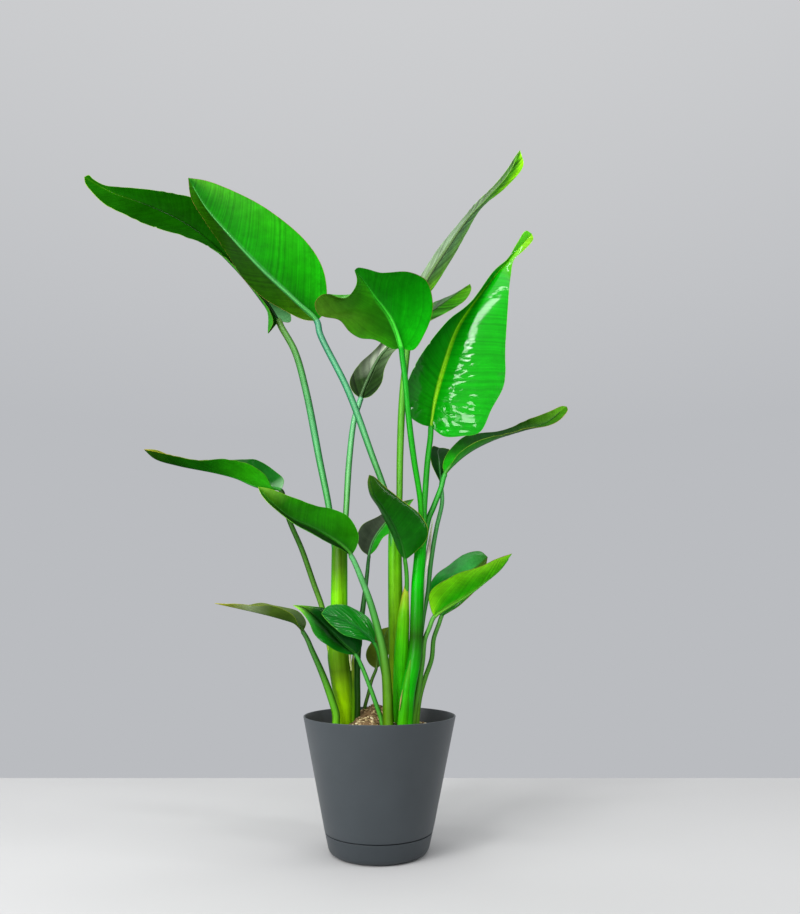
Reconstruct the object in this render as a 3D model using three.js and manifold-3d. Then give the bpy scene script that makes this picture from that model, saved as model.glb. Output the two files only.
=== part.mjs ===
// Potted bird of paradise: a tall plant with long-stalked leaves in a round plastic pot on its own saucer.
// Millimetres, +Z up, origin at the middle of the saucer's underside. The plant's leaves spread along X.
import * as THREE from 'three';
import Module from 'manifold-3d';
import { mergeVertices } from 'three/addons/utils/BufferGeometryUtils.js';

const wasm = await Module();
wasm.setup();

// Pot and saucer
const RIM_RADIUS = 120;
const POT_HEIGHT = 195;
const WALL = 2.5;
const LEDGE_RADIUS = 82.8;
const LEDGE_HEIGHT = 31.2;
const SAUCER_HEIGHT = 29.8;
const SAUCER_RADIUS = 82.3;
const SAUCER_BASE_RADIUS = 66;
const SAUCER_FLOOR = 3;
const POT_FLOOR_TOP = 6.5;
const DRAIN_RADIUS = 5;
const DRAIN_RING = 42;
const DRAIN_COUNT = 5;
const ROUND_STEPS = 40;
const SOIL_STEPS = 32;

// Soil
const SOIL_EDGE_HEIGHT = 165;
const SOIL_MOUND = { rise: 22, x: 0, y: 18, spreadX: 62, spreadY: 44 };
const SOIL_CROWN = { rise: 22, x: -12, y: 52, spreadX: 22, spreadY: 20 };
const SOIL_LUMP = 1.6;

// Stalks, stems and blades
const GAP = 0.35;
const FOOT_HEIGHT = 150;
const STALK_SIDES = 6;
const STEM_SIDES = 10;
const BLADE_THICKNESS = 1.3;
const RIB_TIP_RADIUS = 0.9;
const RIB_REACH = 0.93;
const SLIVER = 0.03;

// Colours and surface of each material
const MATERIALS = {
  pot: { color: '#50565a', roughness: 0.55 },
  saucer: { color: '#4b5155', roughness: 0.55 },
  soil: { color: '#6b4a35', roughness: 1 },
  stem: { color: '#5fae12', roughness: 0.45 },
  leaf: { color: '#1f8a12', roughness: 0.35 },
};

// Each leaf: stalk points from its foot up to the blade, rib points from the blade's base to its tip, and
// the points of its two margins between the same base and tip. upper is 1 where the blade's upper side faces
// the front (-Y) and -1 where its underside does. girth is the stalk's radius at foot, middle and blade.
// arch is how far each half bulges, as a share of its width, and ripple the height of the margin's waves.
const LEAVES = [
  {
    name: 'leaf_high_far_left', rooted: false, upper: -1, girth: [5, 6.4, 6], arch: 0.07, ripple: 2.5,
    stalk: [[-75, 12, 436], [-80, 12, 473], [-91, 14, 536], [-108, 18, 611], [-137, 22, 743],
      [-160, 26, 819], [-188, 30, 870]],
    rib: [[-193, 34, 882], [-226, 48, 935], [-291, 66, 1016], [-385, 74, 1104], [-469, 76, 1150],
      [-546, 70, 1177], [-601, 62, 1206]],
    left: [[-208, 14, 848], [-199, 10, 867], [-207, 12, 892], [-225, 20, 922], [-286, 34, 997],
      [-342, 38, 1041], [-392, 40, 1066], [-459, 46, 1088], [-524, 54, 1124], [-552, 56, 1142],
      [-582, 58, 1172], [-596, 60, 1190]],
    right: [[-175, 50, 887], [-181, 68, 924], [-247, 108, 1071], [-331, 122, 1166], [-403, 120, 1197],
      [-481, 108, 1210], [-540, 90, 1203], [-565, 76, 1197], [-586, 68, 1206], [-593, 64, 1212]],
  },
  {
    name: 'leaf_high_left', rooted: false, upper: -1, girth: [4.5, 5.8, 5.6], arch: 0.06, ripple: 1.5,
    stalk: [[20, 4, 458], [17, 2, 505], [10, -4, 544], [1, -9, 570], [-14, -16, 609], [-57, -28, 724],
      [-107, -38, 825]],
    rib: [[-113, -40, 848], [-148, -44, 882], [-211, -48, 942], [-281, -44, 1021], [-322, -34, 1074],
      [-367, -12, 1152]],
    left: [[-137, -30, 855], [-175, -5, 884], [-222, 15, 921], [-262, 25, 965], [-309, 25, 1037],
      [-341, 12, 1082], [-361, -4, 1114]],
    right: [[-100, -34, 868], [-98, -28, 909], [-109, -22, 964], [-142, -18, 1018], [-206, -14, 1078],
      [-268, -10, 1119], [-332, -8, 1148]],
  },
  {
    name: 'leaf_high_centre', rooted: false, upper: -1, girth: [4.2, 5.2, 5], arch: 0.1, ripple: 1.5,
    stalk: [[67, -13, 457], [67, -13, 486], [66, -18, 533], [55, -28, 606], [48, -34, 662],
      [41, -42, 739], [36, -48, 778]],
    rib: [[34, -52, 793], [17, -72, 836], [-10, -98, 865], [-27, -110, 886], [-43, -120, 902]],
    left: [[20, -55, 790], [-10, -70, 800], [-34, -88, 796], [-50, -104, 800], [-65, -125, 810],
      [-87, -155, 803], [-94, -172, 801], [-98, -180, 814], [-91, -172, 831], [-80, -160, 839],
      [-67, -146, 840], [-54, -136, 845], [-40, -128, 868], [-38, -124, 884]],
    right: [[54, -50, 790], [75, -50, 821], [89, -56, 869], [80, -70, 907], [46, -90, 915],
      [-1, -104, 907], [-23, -110, 910], [-38, -116, 909]],
  },
  {
    name: 'leaf_high_right', rooted: false, upper: -1, girth: [5, 6.4, 5.8], arch: 0.06, ripple: 2,
    stalk: [[28, 14, 459], [29, 16, 507], [31, 20, 548], [32, 22, 618], [36, 28, 726], [41, 32, 785],
      [49, 38, 856]],
    rib: [[58, 44, 917], [82, 52, 973], [122, 62, 1044], [167, 74, 1119], [210, 84, 1173],
      [254, 90, 1231], [281, 92, 1291]],
    left: [[49, 70, 942], [75, 98, 1012], [125, 118, 1100], [178, 122, 1173], [219, 112, 1211],
      [251, 100, 1247], [273, 95, 1281]],
    right: [[74, 60, 937], [97, 84, 974], [137, 108, 1051], [169, 118, 1117], [199, 112, 1166],
      [249, 96, 1207], [286, 92, 1253]],
  },
  {
    name: 'leaf_broad_right', rooted: false, upper: 1, girth: [4, 5.2, 5], arch: 0.05, ripple: 1.5,
    stalk: [[69, -3, 458], [72, 0, 497], [74, 4, 537], [80, 16, 611], [86, 25, 658]],
    rib: [[87, 25, 675], [94, 20, 724], [109, 14, 782], [134, 10, 855], [168, 12, 910], [207, 20, 964],
      [244, 28, 1012], [284, 30, 1060]],
    left: [[67, 5, 675], [46, -18, 686], [41, -35, 718], [59, -45, 767], [112, -40, 845],
      [158, -15, 896], [208, 12, 974], [235, 22, 1004], [254, 26, 1038], [273, 29, 1066]],
    right: [[109, 18, 656], [141, 2, 652], [169, -12, 655], [190, -18, 695], [212, -20, 738],
      [218, -20, 814], [230, -6, 923], [238, 14, 965], [246, 20, 1000], [267, 26, 1023],
      [286, 29, 1048]],
  },
  {
    name: 'leaf_high_back', rooted: false, upper: -1, girth: [4.5, 5.6, 5], arch: 0.06, ripple: 1.5,
    stalk: [[-66, 18, 436], [-63, 20, 474], [-61, 26, 526], [-58, 36, 615], [-51, 46, 694],
      [-43, 52, 726]],
    rib: [[-40, 54, 737], [-27, 60, 776], [-4, 70, 827], [42, 84, 884], [95, 98, 932], [173, 116, 1000]],
    left: [[-56, 70, 756], [-63, 84, 782], [-49, 98, 820], [-17, 112, 856], [32, 125, 921],
      [99, 130, 965], [143, 124, 984]],
    right: [[-21, 40, 738], [-3, 40, 761], [4, 48, 795], [24, 62, 836], [71, 82, 889], [124, 100, 931],
      [163, 108, 962], [175, 113, 987]],
  },
  {
    name: 'leaf_mid_far_left', rooted: false, upper: -1, girth: [4.5, 4.6, 4.2], arch: 0.06, ripple: 1.5,
    stalk: [[-80, 8, 286], [-88, 12, 322], [-97, 16, 361], [-113, 18, 402], [-134, 18, 457],
      [-158, 18, 509], [-169, 18, 544]],
    rib: [[-173, 18, 558], [-215, 18, 565], [-253, 20, 581], [-289, 24, 591], [-359, 32, 606],
      [-403, 38, 620], [-425, 40, 638]],
    left: [[-184, -2, 559], [-195, -26, 579], [-218, -34, 594], [-256, -32, 601], [-297, -22, 604],
      [-350, 0, 614], [-393, 22, 629]],
    right: [[-172, 34, 581], [-190, 52, 600], [-231, 66, 624], [-274, 68, 627], [-321, 62, 622],
      [-367, 52, 625], [-405, 46, 638]],
  },
  {
    name: 'leaf_mid_left', rooted: true, upper: -1, girth: [9.5, 6.4, 4.2], arch: 0.08, ripple: 1,
    stalk: [[14, -26, 185], [11, -32, 253], [5, -38, 295], [-4, -42, 331], [-15, -46, 368],
      [-29, -48, 404]],
    rib: [[-46, -48, 440], [-62, -50, 457], [-99, -58, 480], [-142, -72, 499], [-175, -86, 526],
      [-191, -92, 544]],
    left: [[-59, -66, 448], [-80, -84, 458], [-105, -96, 470], [-133, -100, 487], [-166, -98, 511],
      [-185, -94, 532]],
    right: [[-38, -30, 458], [-37, -14, 480], [-55, -10, 509], [-81, -18, 522], [-109, -34, 524],
      [-141, -56, 534], [-174, -80, 543]],
  },
  {
    name: 'leaf_mid_centre', rooted: false, upper: 1, girth: [3.4, 3.6, 3.4], arch: 0.1, ripple: 1,
    stalk: [[41, -4, 354], [43, -12, 389], [43, -18, 407], [42, -24, 421]],
    rib: [[40, -30, 435], [35, -38, 459], [22, -52, 489], [5, -66, 516], [-9, -76, 535],
      [-17, -84, 565]],
    left: [[29, -18, 451], [14, -14, 488], [-3, -22, 520], [-17, -44, 541], [-20, -70, 556]],
    right: [[55, -28, 447], [75, -24, 469], [78, -26, 486], [65, -34, 508], [35, -48, 531],
      [8, -66, 549], [-9, -78, 563]],
  },
  {
    name: 'leaf_mid_back', rooted: true, upper: -1, girth: [6, 5.4, 3], arch: 0.06, ripple: 1,
    stalk: [[-38, 30, 184], [-38, 32, 214], [-39, 36, 261], [-37, 40, 309], [-31, 46, 361],
      [-25, 52, 417]],
    rib: [[-22, 58, 450], [-16, 64, 475], [-2, 74, 500], [21, 86, 529], [58, 100, 559]],
    left: [[-37, 76, 463], [-46, 92, 486], [-36, 104, 511], [-5, 112, 531], [32, 108, 554]],
    right: [[-11, 50, 460], [1, 50, 479], [16, 60, 493], [36, 80, 524]],
  },
  {
    name: 'leaf_mid_far_right', rooted: false, upper: -1, girth: [3.6, 5, 4.4], arch: 0.06, ripple: 1.5,
    stalk: [[67, -2, 412], [70, 4, 447], [74, 10, 473], [80, 11, 507], [90, 12, 531], [103, 12, 564]],
    rib: [[109, 8, 584], [130, 6, 607], [159, 8, 629], [204, 16, 652], [247, 26, 668], [294, 36, 686],
      [335, 44, 719]],
    left: [[107, 22, 605], [120, 42, 637], [148, 58, 665], [186, 66, 675], [230, 64, 684],
      [275, 56, 701], [306, 52, 713], [327, 47, 721]],
    right: [[115, -12, 592], [129, -30, 612], [154, -36, 628], [191, -30, 643], [253, 2, 665],
      [292, 20, 676], [319, 34, 691], [336, 42, 712]],
  },
  {
    name: 'leaf_mid_right_back', rooted: false, upper: -1, girth: [3.2, 4, 3.6], arch: 0.05, ripple: 1,
    stalk: [[66, -6, 314], [71, 2, 349], [78, 10, 385], [84, 20, 435], [90, 28, 471], [96, 34, 500],
      [106, 44, 543]],
    rib: [[105, 52, 577], [104, 66, 606], [104, 90, 630], [104, 125, 654], [110, 160, 671]],
    left: [[93, 56, 604], [88, 70, 625], [90, 95, 650], [97, 130, 667]],
    right: [[115, 58, 604], [122, 74, 628], [125, 98, 649], [121, 135, 664]],
  },
  {
    name: 'leaf_low_right', rooted: true, upper: -1, girth: [5.4, 4.4, 3.6], arch: 0.08, ripple: 1,
    stalk: [[53, 2, 184], [61, -2, 233], [68, -4, 277], [72, -8, 311], [79, -12, 328]],
    rib: [[87, -16, 346], [108, -18, 361], [138, -26, 378], [168, -38, 400], [191, -50, 419],
      [209, -60, 443]],
    left: [[82, -26, 355], [78, -44, 378], [90, -58, 394], [113, -68, 407], [147, -74, 418],
      [179, -70, 432]],
    right: [[97, -6, 350], [114, 0, 365], [142, 2, 383], [170, -8, 403], [192, -30, 424]],
  },
  {
    name: 'leaf_low_right_back', rooted: true, upper: 1, girth: [5, 4, 3.6], arch: 0.08, ripple: 1,
    stalk: [[59, 20, 185], [64, 22, 220], [73, 24, 249], [84, 26, 279], [88, 28, 311], [97, 30, 335]],
    rib: [[101, 32, 346], [115, 36, 374], [135, 44, 401], [158, 54, 426], [186, 64, 449]],
    left: [[87, 50, 368], [82, 66, 394], [96, 80, 419], [121, 90, 439], [150, 90, 457], [174, 80, 461]],
    right: [[114, 22, 354], [135, 20, 367], [159, 30, 391], [177, 48, 420]],
  },
  {
    name: 'leaf_low_far_left', rooted: true, upper: -1, girth: [6.5, 5.6, 3.6], arch: 0.05, ripple: 1,
    stalk: [[-68, -14, 183], [-68, -13, 196], [-80, -8, 230], [-94, -4, 262], [-110, -2, 294],
      [-118, -2, 311]],
    rib: [[-125, -3, 322], [-137, -4, 335], [-161, -4, 343], [-193, -2, 351], [-231, 4, 359],
      [-275, 10, 368]],
    left: [[-129, -24, 330], [-138, -40, 350], [-166, -46, 361], [-197, -40, 364], [-239, -16, 366]],
    right: [[-123, 18, 338], [-138, 36, 354], [-170, 44, 364], [-202, 42, 369], [-231, 34, 365],
      [-255, 22, 367]],
  },
  {
    name: 'leaf_low_left', rooted: true, upper: 1, girth: [4, 3.6, 3.2], arch: 0.06, ripple: 1,
    stalk: [[4, -10, 183], [-8, -14, 219], [-20, -17, 250], [-30, -20, 273]],
    rib: [[-38, -22, 287], [-56, -28, 302], [-78, -38, 324], [-101, -50, 347], [-117, -58, 359],
      [-134, -64, 363]],
    left: [[-52, -38, 289], [-74, -58, 299], [-94, -72, 315], [-109, -78, 340], [-120, -74, 354]],
    right: [[-29, -14, 300], [-32, -12, 325], [-56, -20, 347], [-82, -34, 358], [-107, -50, 362]],
  },
  {
    name: 'leaf_low_centre', rooted: true, upper: 1, girth: [3.2, 3.2, 3], arch: 0.08, ripple: 1,
    stalk: [[10, 13, 183], [10, 7, 209], [7, -4, 248], [-1, -16, 285]],
    rib: [[-8, -24, 304], [-23, -34, 319], [-46, -46, 335], [-69, -58, 344], [-89, -70, 350]],
    left: [[-21, -40, 310], [-34, -54, 312], [-52, -64, 318], [-69, -70, 329], [-81, -72, 341]],
    right: [[-8, -18, 321], [-15, -18, 339], [-35, -24, 356], [-58, -38, 364], [-80, -58, 362]],
  },
  {
    name: 'leaf_low_back', rooted: true, upper: -1, girth: [3.6, 3, 2.6], arch: 0.05, ripple: 1,
    stalk: [[-27, 44, 195], [-20, 36, 223], [-14, 28, 246]],
    rib: [[-7, 24, 263], [-4, 32, 283], [2, 42, 304], [13, 56, 330]],
    left: [[-19, 32, 271], [-25, 42, 284], [-17, 56, 305], [-2, 64, 325]],
    right: [[6, 24, 274], [15, 30, 290], [20, 42, 309]],
  },
];

// Each stem is a bundle of leaf sheaths: a full one and a shorter one that wraps it and ends in a point.
// A sheath is a list of points up its middle with its radius at each.
const STEMS = [
  {
    name: 'stem_left',
    sheaths: [
      {
        points: [[-57, 12, 177], [-58, 12, 208], [-61, 12, 238], [-66, 12, 282], [-67, 12, 317],
          [-68, 12, 357], [-69, 14, 423], [-70, 16, 485]],
        radii: [12, 13, 16.5, 19, 18, 14, 13.5, 13],
      },
      { points: [[-45, 14, 177], [-45, 14, 216], [-45, 12, 259], [-44, 12, 286]], radii: [5, 5, 3.5, 1] },
    ],
  },
  {
    name: 'stem_centre',
    sheaths: [
      {
        points: [[26, 8, 177], [27, 9, 232], [27, 10, 294], [25, 10, 373], [24, 10, 447], [24, 10, 503]],
        radii: [11, 13, 13, 12, 11.5, 11],
      },
      {
        points: [[32, -2, 179], [33, -3, 233], [35, -5, 294], [38, -8, 344], [41, -10, 379],
          [43, -12, 403]],
        radii: [10, 12, 12, 10, 6, 1.5],
      },
    ],
  },
  {
    name: 'stem_right',
    sheaths: [
      {
        points: [[40, -26, 182], [44, -26, 232], [53, -20, 272], [57, -16, 302], [59, -14, 347],
          [61, -8, 400], [65, -6, 446], [67, -6, 484]],
        radii: [11, 11, 10.5, 10.5, 10.5, 10, 9.5, 9.5],
      },
      { points: [[36, -34, 183], [39, -33, 213], [43, -32, 243], [49, -28, 280]], radii: [8, 8, 6, 1] },
    ],
  },
];

const vector = ([x, y, z]) => new THREE.Vector3(x, y, z);

// A smooth route through points, walked by length. at(share) runs from a control point to the end.
class Route {
  static STEPS = 24;

  constructor(points) {
    const curve = new THREE.CatmullRomCurve3(points, false, 'centripetal');
    const count = Route.STEPS * (points.length - 1);
    this.samples = Array.from({ length: count + 1 }, (_, i) => curve.getPoint(i / count));
    this.lengths = [0];
    for (let i = 1; i <= count; i++) {
      this.lengths.push(this.lengths[i - 1] + this.samples[i].distanceTo(this.samples[i - 1]));
    }
  }

  lengthAt(controlIndex) {
    return this.lengths[controlIndex * Route.STEPS];
  }

  // The point at a length along the route
  pointAt(length) {
    const last = this.lengths.length - 1;
    let i = 1;
    while (i < last && this.lengths[i] < length) i++;
    const share = (length - this.lengths[i - 1]) / (this.lengths[i] - this.lengths[i - 1]);
    return this.samples[i - 1].clone().lerp(this.samples[i], share);
  }

  // The point at a share of the way from one length to the route's end
  pointFrom(start, share) {
    const end = this.lengths[this.lengths.length - 1];
    return this.pointAt(start + (end - start) * share);
  }
}

// Closed solid from a list of corner points and triangles of their indices
function solidFromMesh(points, triangles) {
  const vertProperties = new Float32Array(points.flatMap((p) => [p.x, p.y, p.z]));
  const triVerts = new Uint32Array(triangles.flat());
  return new wasm.Manifold(new wasm.Mesh({ numProp: 3, vertProperties, triVerts }));
}

// Closed solid from a three.js geometry, with its shared corners merged and its faces turned out
function solidFromGeometry(source) {
  const bare = source.clone();
  bare.deleteAttribute('normal');
  bare.deleteAttribute('uv');
  const merged = mergeVertices(bare, 1e-3);
  const position = merged.getAttribute('position');
  const points = Array.from({ length: position.count },
    (_, i) => new THREE.Vector3().fromBufferAttribute(position, i));
  const index = Array.from(merged.getIndex().array);
  const triangles = [];
  for (let i = 0; i < index.length; i += 3) {
    const [a, b, c] = index.slice(i, i + 3);
    if (a !== b && b !== c && c !== a) triangles.push([a, b, c]);
  }
  const volume = triangles.reduce(
    (sum, [a, b, c]) => sum + points[a].dot(new THREE.Vector3().crossVectors(points[b], points[c])), 0);
  return solidFromMesh(points, volume < 0 ? triangles.map(([a, b, c]) => [a, c, b]) : triangles);
}

// The largest body of a solid, which drops the slivers that a cut can leave
function largestBody(solid) {
  const bodies = solid.decompose();
  return bodies.reduce((best, body) => (body.volume() > best.volume() ? body : best));
}

// Round tube along ring centres with a radius at each, closed at both ends. Its rings stand square to the
// path, with their first corner turned towards the path's direction crossed with Y.
function tube(centres, radii, sides) {
  const points = [];
  centres.forEach((centre, i) => {
    const before = centres[Math.max(i - 1, 0)];
    const after = centres[Math.min(i + 1, centres.length - 1)];
    const along = after.clone().sub(before).normalize();
    const across = along.clone().cross(new THREE.Vector3(0, 1, 0)).normalize();
    const over = along.clone().cross(across);
    for (let j = 0; j < sides; j++) {
      const angle = (2 * Math.PI * j) / sides;
      points.push(centre.clone().addScaledVector(across, radii[i] * Math.cos(angle))
        .addScaledVector(over, radii[i] * Math.sin(angle)));
    }
  });
  const triangles = [];
  const rings = centres.length;
  for (let i = 0; i + 1 < rings; i++) {
    for (let j = 0; j < sides; j++) {
      const a = i * sides + j;
      const b = i * sides + ((j + 1) % sides);
      triangles.push([a, b, b + sides], [a, b + sides, a + sides]);
    }
  }
  const foot = points.push(centres[0].clone()) - 1;
  const top = points.push(centres[rings - 1].clone()) - 1;
  for (let j = 0; j < sides; j++) {
    const next = (j + 1) % sides;
    const upper = (rings - 1) * sides;
    triangles.push([foot, next, j], [top, upper + j, upper + next]);
  }
  return solidFromMesh(points, triangles);
}

// Value of a list of evenly spaced numbers at a share of its length
function blendList(values, share) {
  const place = share * (values.length - 1);
  const i = Math.min(Math.floor(place), values.length - 2);
  return values[i] + (values[i + 1] - values[i]) * (place - i);
}

// A leaf's own layout: one route up the stalk and along the rib, and one along each margin
class LeafPlan {
  constructor(leaf) {
    const stalk = leaf.stalk.map(vector);
    if (leaf.rooted) stalk.unshift(new THREE.Vector3(stalk[0].x, stalk[0].y, FOOT_HEIGHT));
    const rib = leaf.rib.map(vector);
    const ends = [rib[0], rib[rib.length - 1]];
    this.leaf = leaf;
    this.spine = new Route([...stalk, ...rib]);
    this.bladeStart = this.spine.lengthAt(stalk.length);
    this.left = new Route([ends[0], ...leaf.left.map(vector), ends[1]]);
    this.right = new Route([ends[0], ...leaf.right.map(vector), ends[1]]);
    this.bladeLength = rib.slice(1).reduce((sum, point, i) => sum + point.distanceTo(rib[i]), 0);
    this.rows = Math.max(7, Math.min(12, Math.round(this.bladeLength / 30)));
    this.columns = this.bladeLength > 220 ? 3 : 2;
  }

  // Direction out of the blade's front side at a share of its length
  normalAt(share) {
    const step = 0.02;
    const from = Math.max(share, 0.03) - step;
    const to = Math.min(share, 0.97) + step;
    const along = this.spine.pointFrom(this.bladeStart, to).sub(this.spine.pointFrom(this.bladeStart, from));
    const middle = (from + to) / 2;
    const across = this.left.pointFrom(0, middle).sub(this.right.pointFrom(0, middle));
    return along.cross(across).normalize();
  }

  // Point of the blade's middle surface: share runs from base to tip, side from -1 (left) to 1 (right).
  // Each half runs straight from rib to margin, plus an arch to the upper side and a rippled margin.
  surfacePoint(share, side) {
    const rib = this.spine.pointFrom(this.bladeStart, share);
    if (side === 0) return rib;
    const margin = (side < 0 ? this.left : this.right).pointFrom(0, share);
    const reach = Math.abs(side);
    const width = margin.distanceTo(rib);
    const bulge = this.leaf.arch * width * 4 * reach * (1 - reach);
    const wave = this.leaf.ripple * reach * reach * Math.sin(Math.PI * share)
      * Math.sin(2 * Math.PI * 3 * share + (side < 0 ? 0 : 2));
    return rib.lerp(margin, reach).addScaledVector(this.normalAt(share), this.leaf.upper * bulge + wave);
  }
}

// Thin closed blade: the middle surface moved half the thickness each way, with its margin closed. Both
// faces share one split into triangles, and both ends close in a point.
function bladeSolid(plan) {
  const { rows, columns } = plan;
  const line = Array.from({ length: 2 * columns + 1 }, (_, j) => j / columns - 1);
  const middle = [];
  for (let i = 0; i <= rows; i++) {
    middle.push(i === 0 || i === rows ? [plan.surfacePoint(i / rows, 0)]
      : line.map((side) => plan.surfacePoint(i / rows, side)));
  }
  const points = [];
  const index = { front: [], back: [] };
  for (const [face, sign] of [['front', 1], ['back', -1]]) {
    middle.forEach((row, i) => {
      index[face].push(row.map((point, j) => {
        const before = middle[Math.max(i - 1, 0)];
        const after = middle[Math.min(i + 1, rows)];
        const pick = (other) => other[other.length === 1 ? 0 : Math.min(j, other.length - 1)];
        const along = pick(after).clone().sub(pick(before));
        const across = row.length === 1 ? null
          : row[Math.max(j - 1, 0)].clone().sub(row[Math.min(j + 1, row.length - 1)]);
        const out = across ? along.cross(across).normalize() : plan.normalAt(i / rows);
        return points.push(point.clone().addScaledVector(out, (sign * BLADE_THICKNESS) / 2)) - 1;
      }));
    });
  }
  const triangles = [];
  const { front, back } = index;
  const quad = (a, b, c, d) => triangles.push([a, b, c], [a, c, d]);
  const last = 2 * columns;
  for (let i = 1; i + 1 < rows; i++) {
    for (let j = 0; j < last; j++) {
      quad(front[i][j], front[i][j + 1], front[i + 1][j + 1], front[i + 1][j]);
      quad(back[i][j], back[i + 1][j], back[i + 1][j + 1], back[i][j + 1]);
    }
    quad(front[i][0], front[i + 1][0], back[i + 1][0], back[i][0]);
    quad(front[i][last], back[i][last], back[i + 1][last], front[i + 1][last]);
  }
  for (let j = 0; j < last; j++) {
    triangles.push([front[0][0], front[1][j + 1], front[1][j]], [back[0][0], back[1][j], back[1][j + 1]]);
    triangles.push([front[rows][0], front[rows - 1][j], front[rows - 1][j + 1]]);
    triangles.push([back[rows][0], back[rows - 1][j + 1], back[rows - 1][j]]);
  }
  quad(front[0][0], front[1][0], back[1][0], back[0][0]);
  quad(front[0][0], back[0][0], back[1][last], front[1][last]);
  quad(front[rows - 1][0], front[rows][0], back[rows][0], back[rows - 1][0]);
  quad(front[rows - 1][last], back[rows - 1][last], back[rows][0], front[rows][0]);
  return solidFromMesh(points, triangles);
}

// Stalk tube from the foot to the blade, which runs on as the midrib under the blade and tapers to its tip.
// clearance makes it thicker and longer at the foot, for the hole that it stands in.
function stalkSolid(plan, clearance = 0) {
  const { leaf, spine, bladeStart } = plan;
  const bladeEnd = spine.lengths[spine.lengths.length - 1];
  const stalkSteps = Math.max(4, Math.round(bladeStart / 55));
  const ribSteps = clearance ? 0 : Math.round(plan.rows * 0.7);
  const grown = clearance / Math.cos(Math.PI / STALK_SIDES);
  const centres = [];
  const radii = [];
  for (let i = 0; i <= stalkSteps; i++) {
    const share = i / stalkSteps;
    centres.push(spine.pointAt(share * bladeStart));
    radii.push(blendList(leaf.girth, share) + grown);
  }
  for (let i = 1; i <= ribSteps; i++) {
    const share = (RIB_REACH * i) / ribSteps;
    const radius = leaf.girth[2] * 0.8 * (1 - share) + RIB_TIP_RADIUS * share;
    centres.push(spine.pointAt(bladeStart + share * (bladeEnd - bladeStart))
      .addScaledVector(plan.normalAt(share), -leaf.upper * radius * 0.4));
    radii.push(radius);
  }
  if (clearance) {
    const outward = centres[0].clone().sub(centres[1]).normalize();
    centres[0].addScaledVector(outward, clearance);
  }
  return tube(centres, radii, STALK_SIDES);
}

// One sheath of a stem, from below the soil to its end
function sheathSolid({ points, radii }, clearance = 0) {
  const [x, y] = points[0];
  const foot = new THREE.Vector3(x, y, FOOT_HEIGHT - clearance);
  const centres = [foot, ...points.map(vector)];
  const grown = clearance / Math.cos(Math.PI / STEM_SIDES);
  return tube(centres, [radii[0], ...radii].map((radius) => radius + grown), STEM_SIDES);
}

// Join of a stem's sheaths
function stemSolid(stem, clearance = 0) {
  const [first, ...others] = stem.sheaths.map((sheath) => sheathSolid(sheath, clearance));
  return others.reduce((joined, sheath) => joined.add(sheath), first);
}

// Solid turned round Z from a closed list of [radius, height] pairs
function turned(profile) {
  const outline = profile.map(([radius, height]) => new THREE.Vector2(radius, height));
  return solidFromGeometry(new THREE.LatheGeometry(outline, ROUND_STEPS).rotateX(Math.PI / 2));
}

// Upright round cutter
function roundCutter(radius, x, y, low, high) {
  const cylinder = new THREE.CylinderGeometry(radius, radius, high - low, 16).rotateX(Math.PI / 2);
  return solidFromGeometry(cylinder.translate(x, y, (low + high) / 2));
}

// The pot's inner wall from its floor up, which the soil follows
const POT_INSIDE = [
  [64, POT_FLOOR_TOP], [67.6, 9], [76.4, LEDGE_HEIGHT - 3], [LEDGE_RADIUS - WALL, LEDGE_HEIGHT + 2],
  [RIM_RADIUS - WALL, POT_HEIGHT],
];

// Tapered pot with a narrower foot that stands in the saucer, a ledge over the saucer's rim and drain holes
function potSolid() {
  const footClearance = SAUCER_FLOOR + GAP;
  let solid = turned([
    [0, footClearance], [66, footClearance], [69.8, 6.5], [79, LEDGE_HEIGHT], [LEDGE_RADIUS, LEDGE_HEIGHT],
    [RIM_RADIUS - 0.2, POT_HEIGHT - 1], [RIM_RADIUS - 0.9, POT_HEIGHT],
    ...POT_INSIDE.slice().reverse(), [0, POT_FLOOR_TOP],
  ]);
  for (let i = 0; i < DRAIN_COUNT; i++) {
    const angle = (2 * Math.PI * i) / DRAIN_COUNT;
    const [x, y] = [DRAIN_RING * Math.cos(angle), DRAIN_RING * Math.sin(angle)];
    solid = solid.subtract(roundCutter(DRAIN_RADIUS, x, y, 0, 2 * POT_FLOOR_TOP));
  }
  return solid;
}

// Dish with a rounded lower edge, level with the pot's side
function saucerSolid() {
  return turned([
    [0, 0], [SAUCER_BASE_RADIUS, 0], [70.5, 0.9], [74.2, 3.4], [76.6, 7.4], [SAUCER_RADIUS, SAUCER_HEIGHT],
    [SAUCER_RADIUS - WALL, SAUCER_HEIGHT], [74.5, 8.8], [72.4, 5.2], [68.6, SAUCER_FLOOR], [0, SAUCER_FLOOR],
  ]);
}

// Height of the soil's surface: a low mound, the raised root crown at its back, and small lumps
function soilHeight(x, y) {
  const heap = ({ rise, x: cx, y: cy, spreadX, spreadY }) =>
    rise * Math.exp(-0.5 * (((x - cx) / spreadX) ** 2 + ((y - cy) / spreadY) ** 2));
  const lumps = Math.sin(x / 7.1 + 1.3) * Math.sin(y / 6.3) + 0.6 * Math.sin((x + y) / 4.7);
  return SOIL_EDGE_HEIGHT + heap(SOIL_MOUND) + heap(SOIL_CROWN) + SOIL_LUMP * lumps;
}

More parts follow.
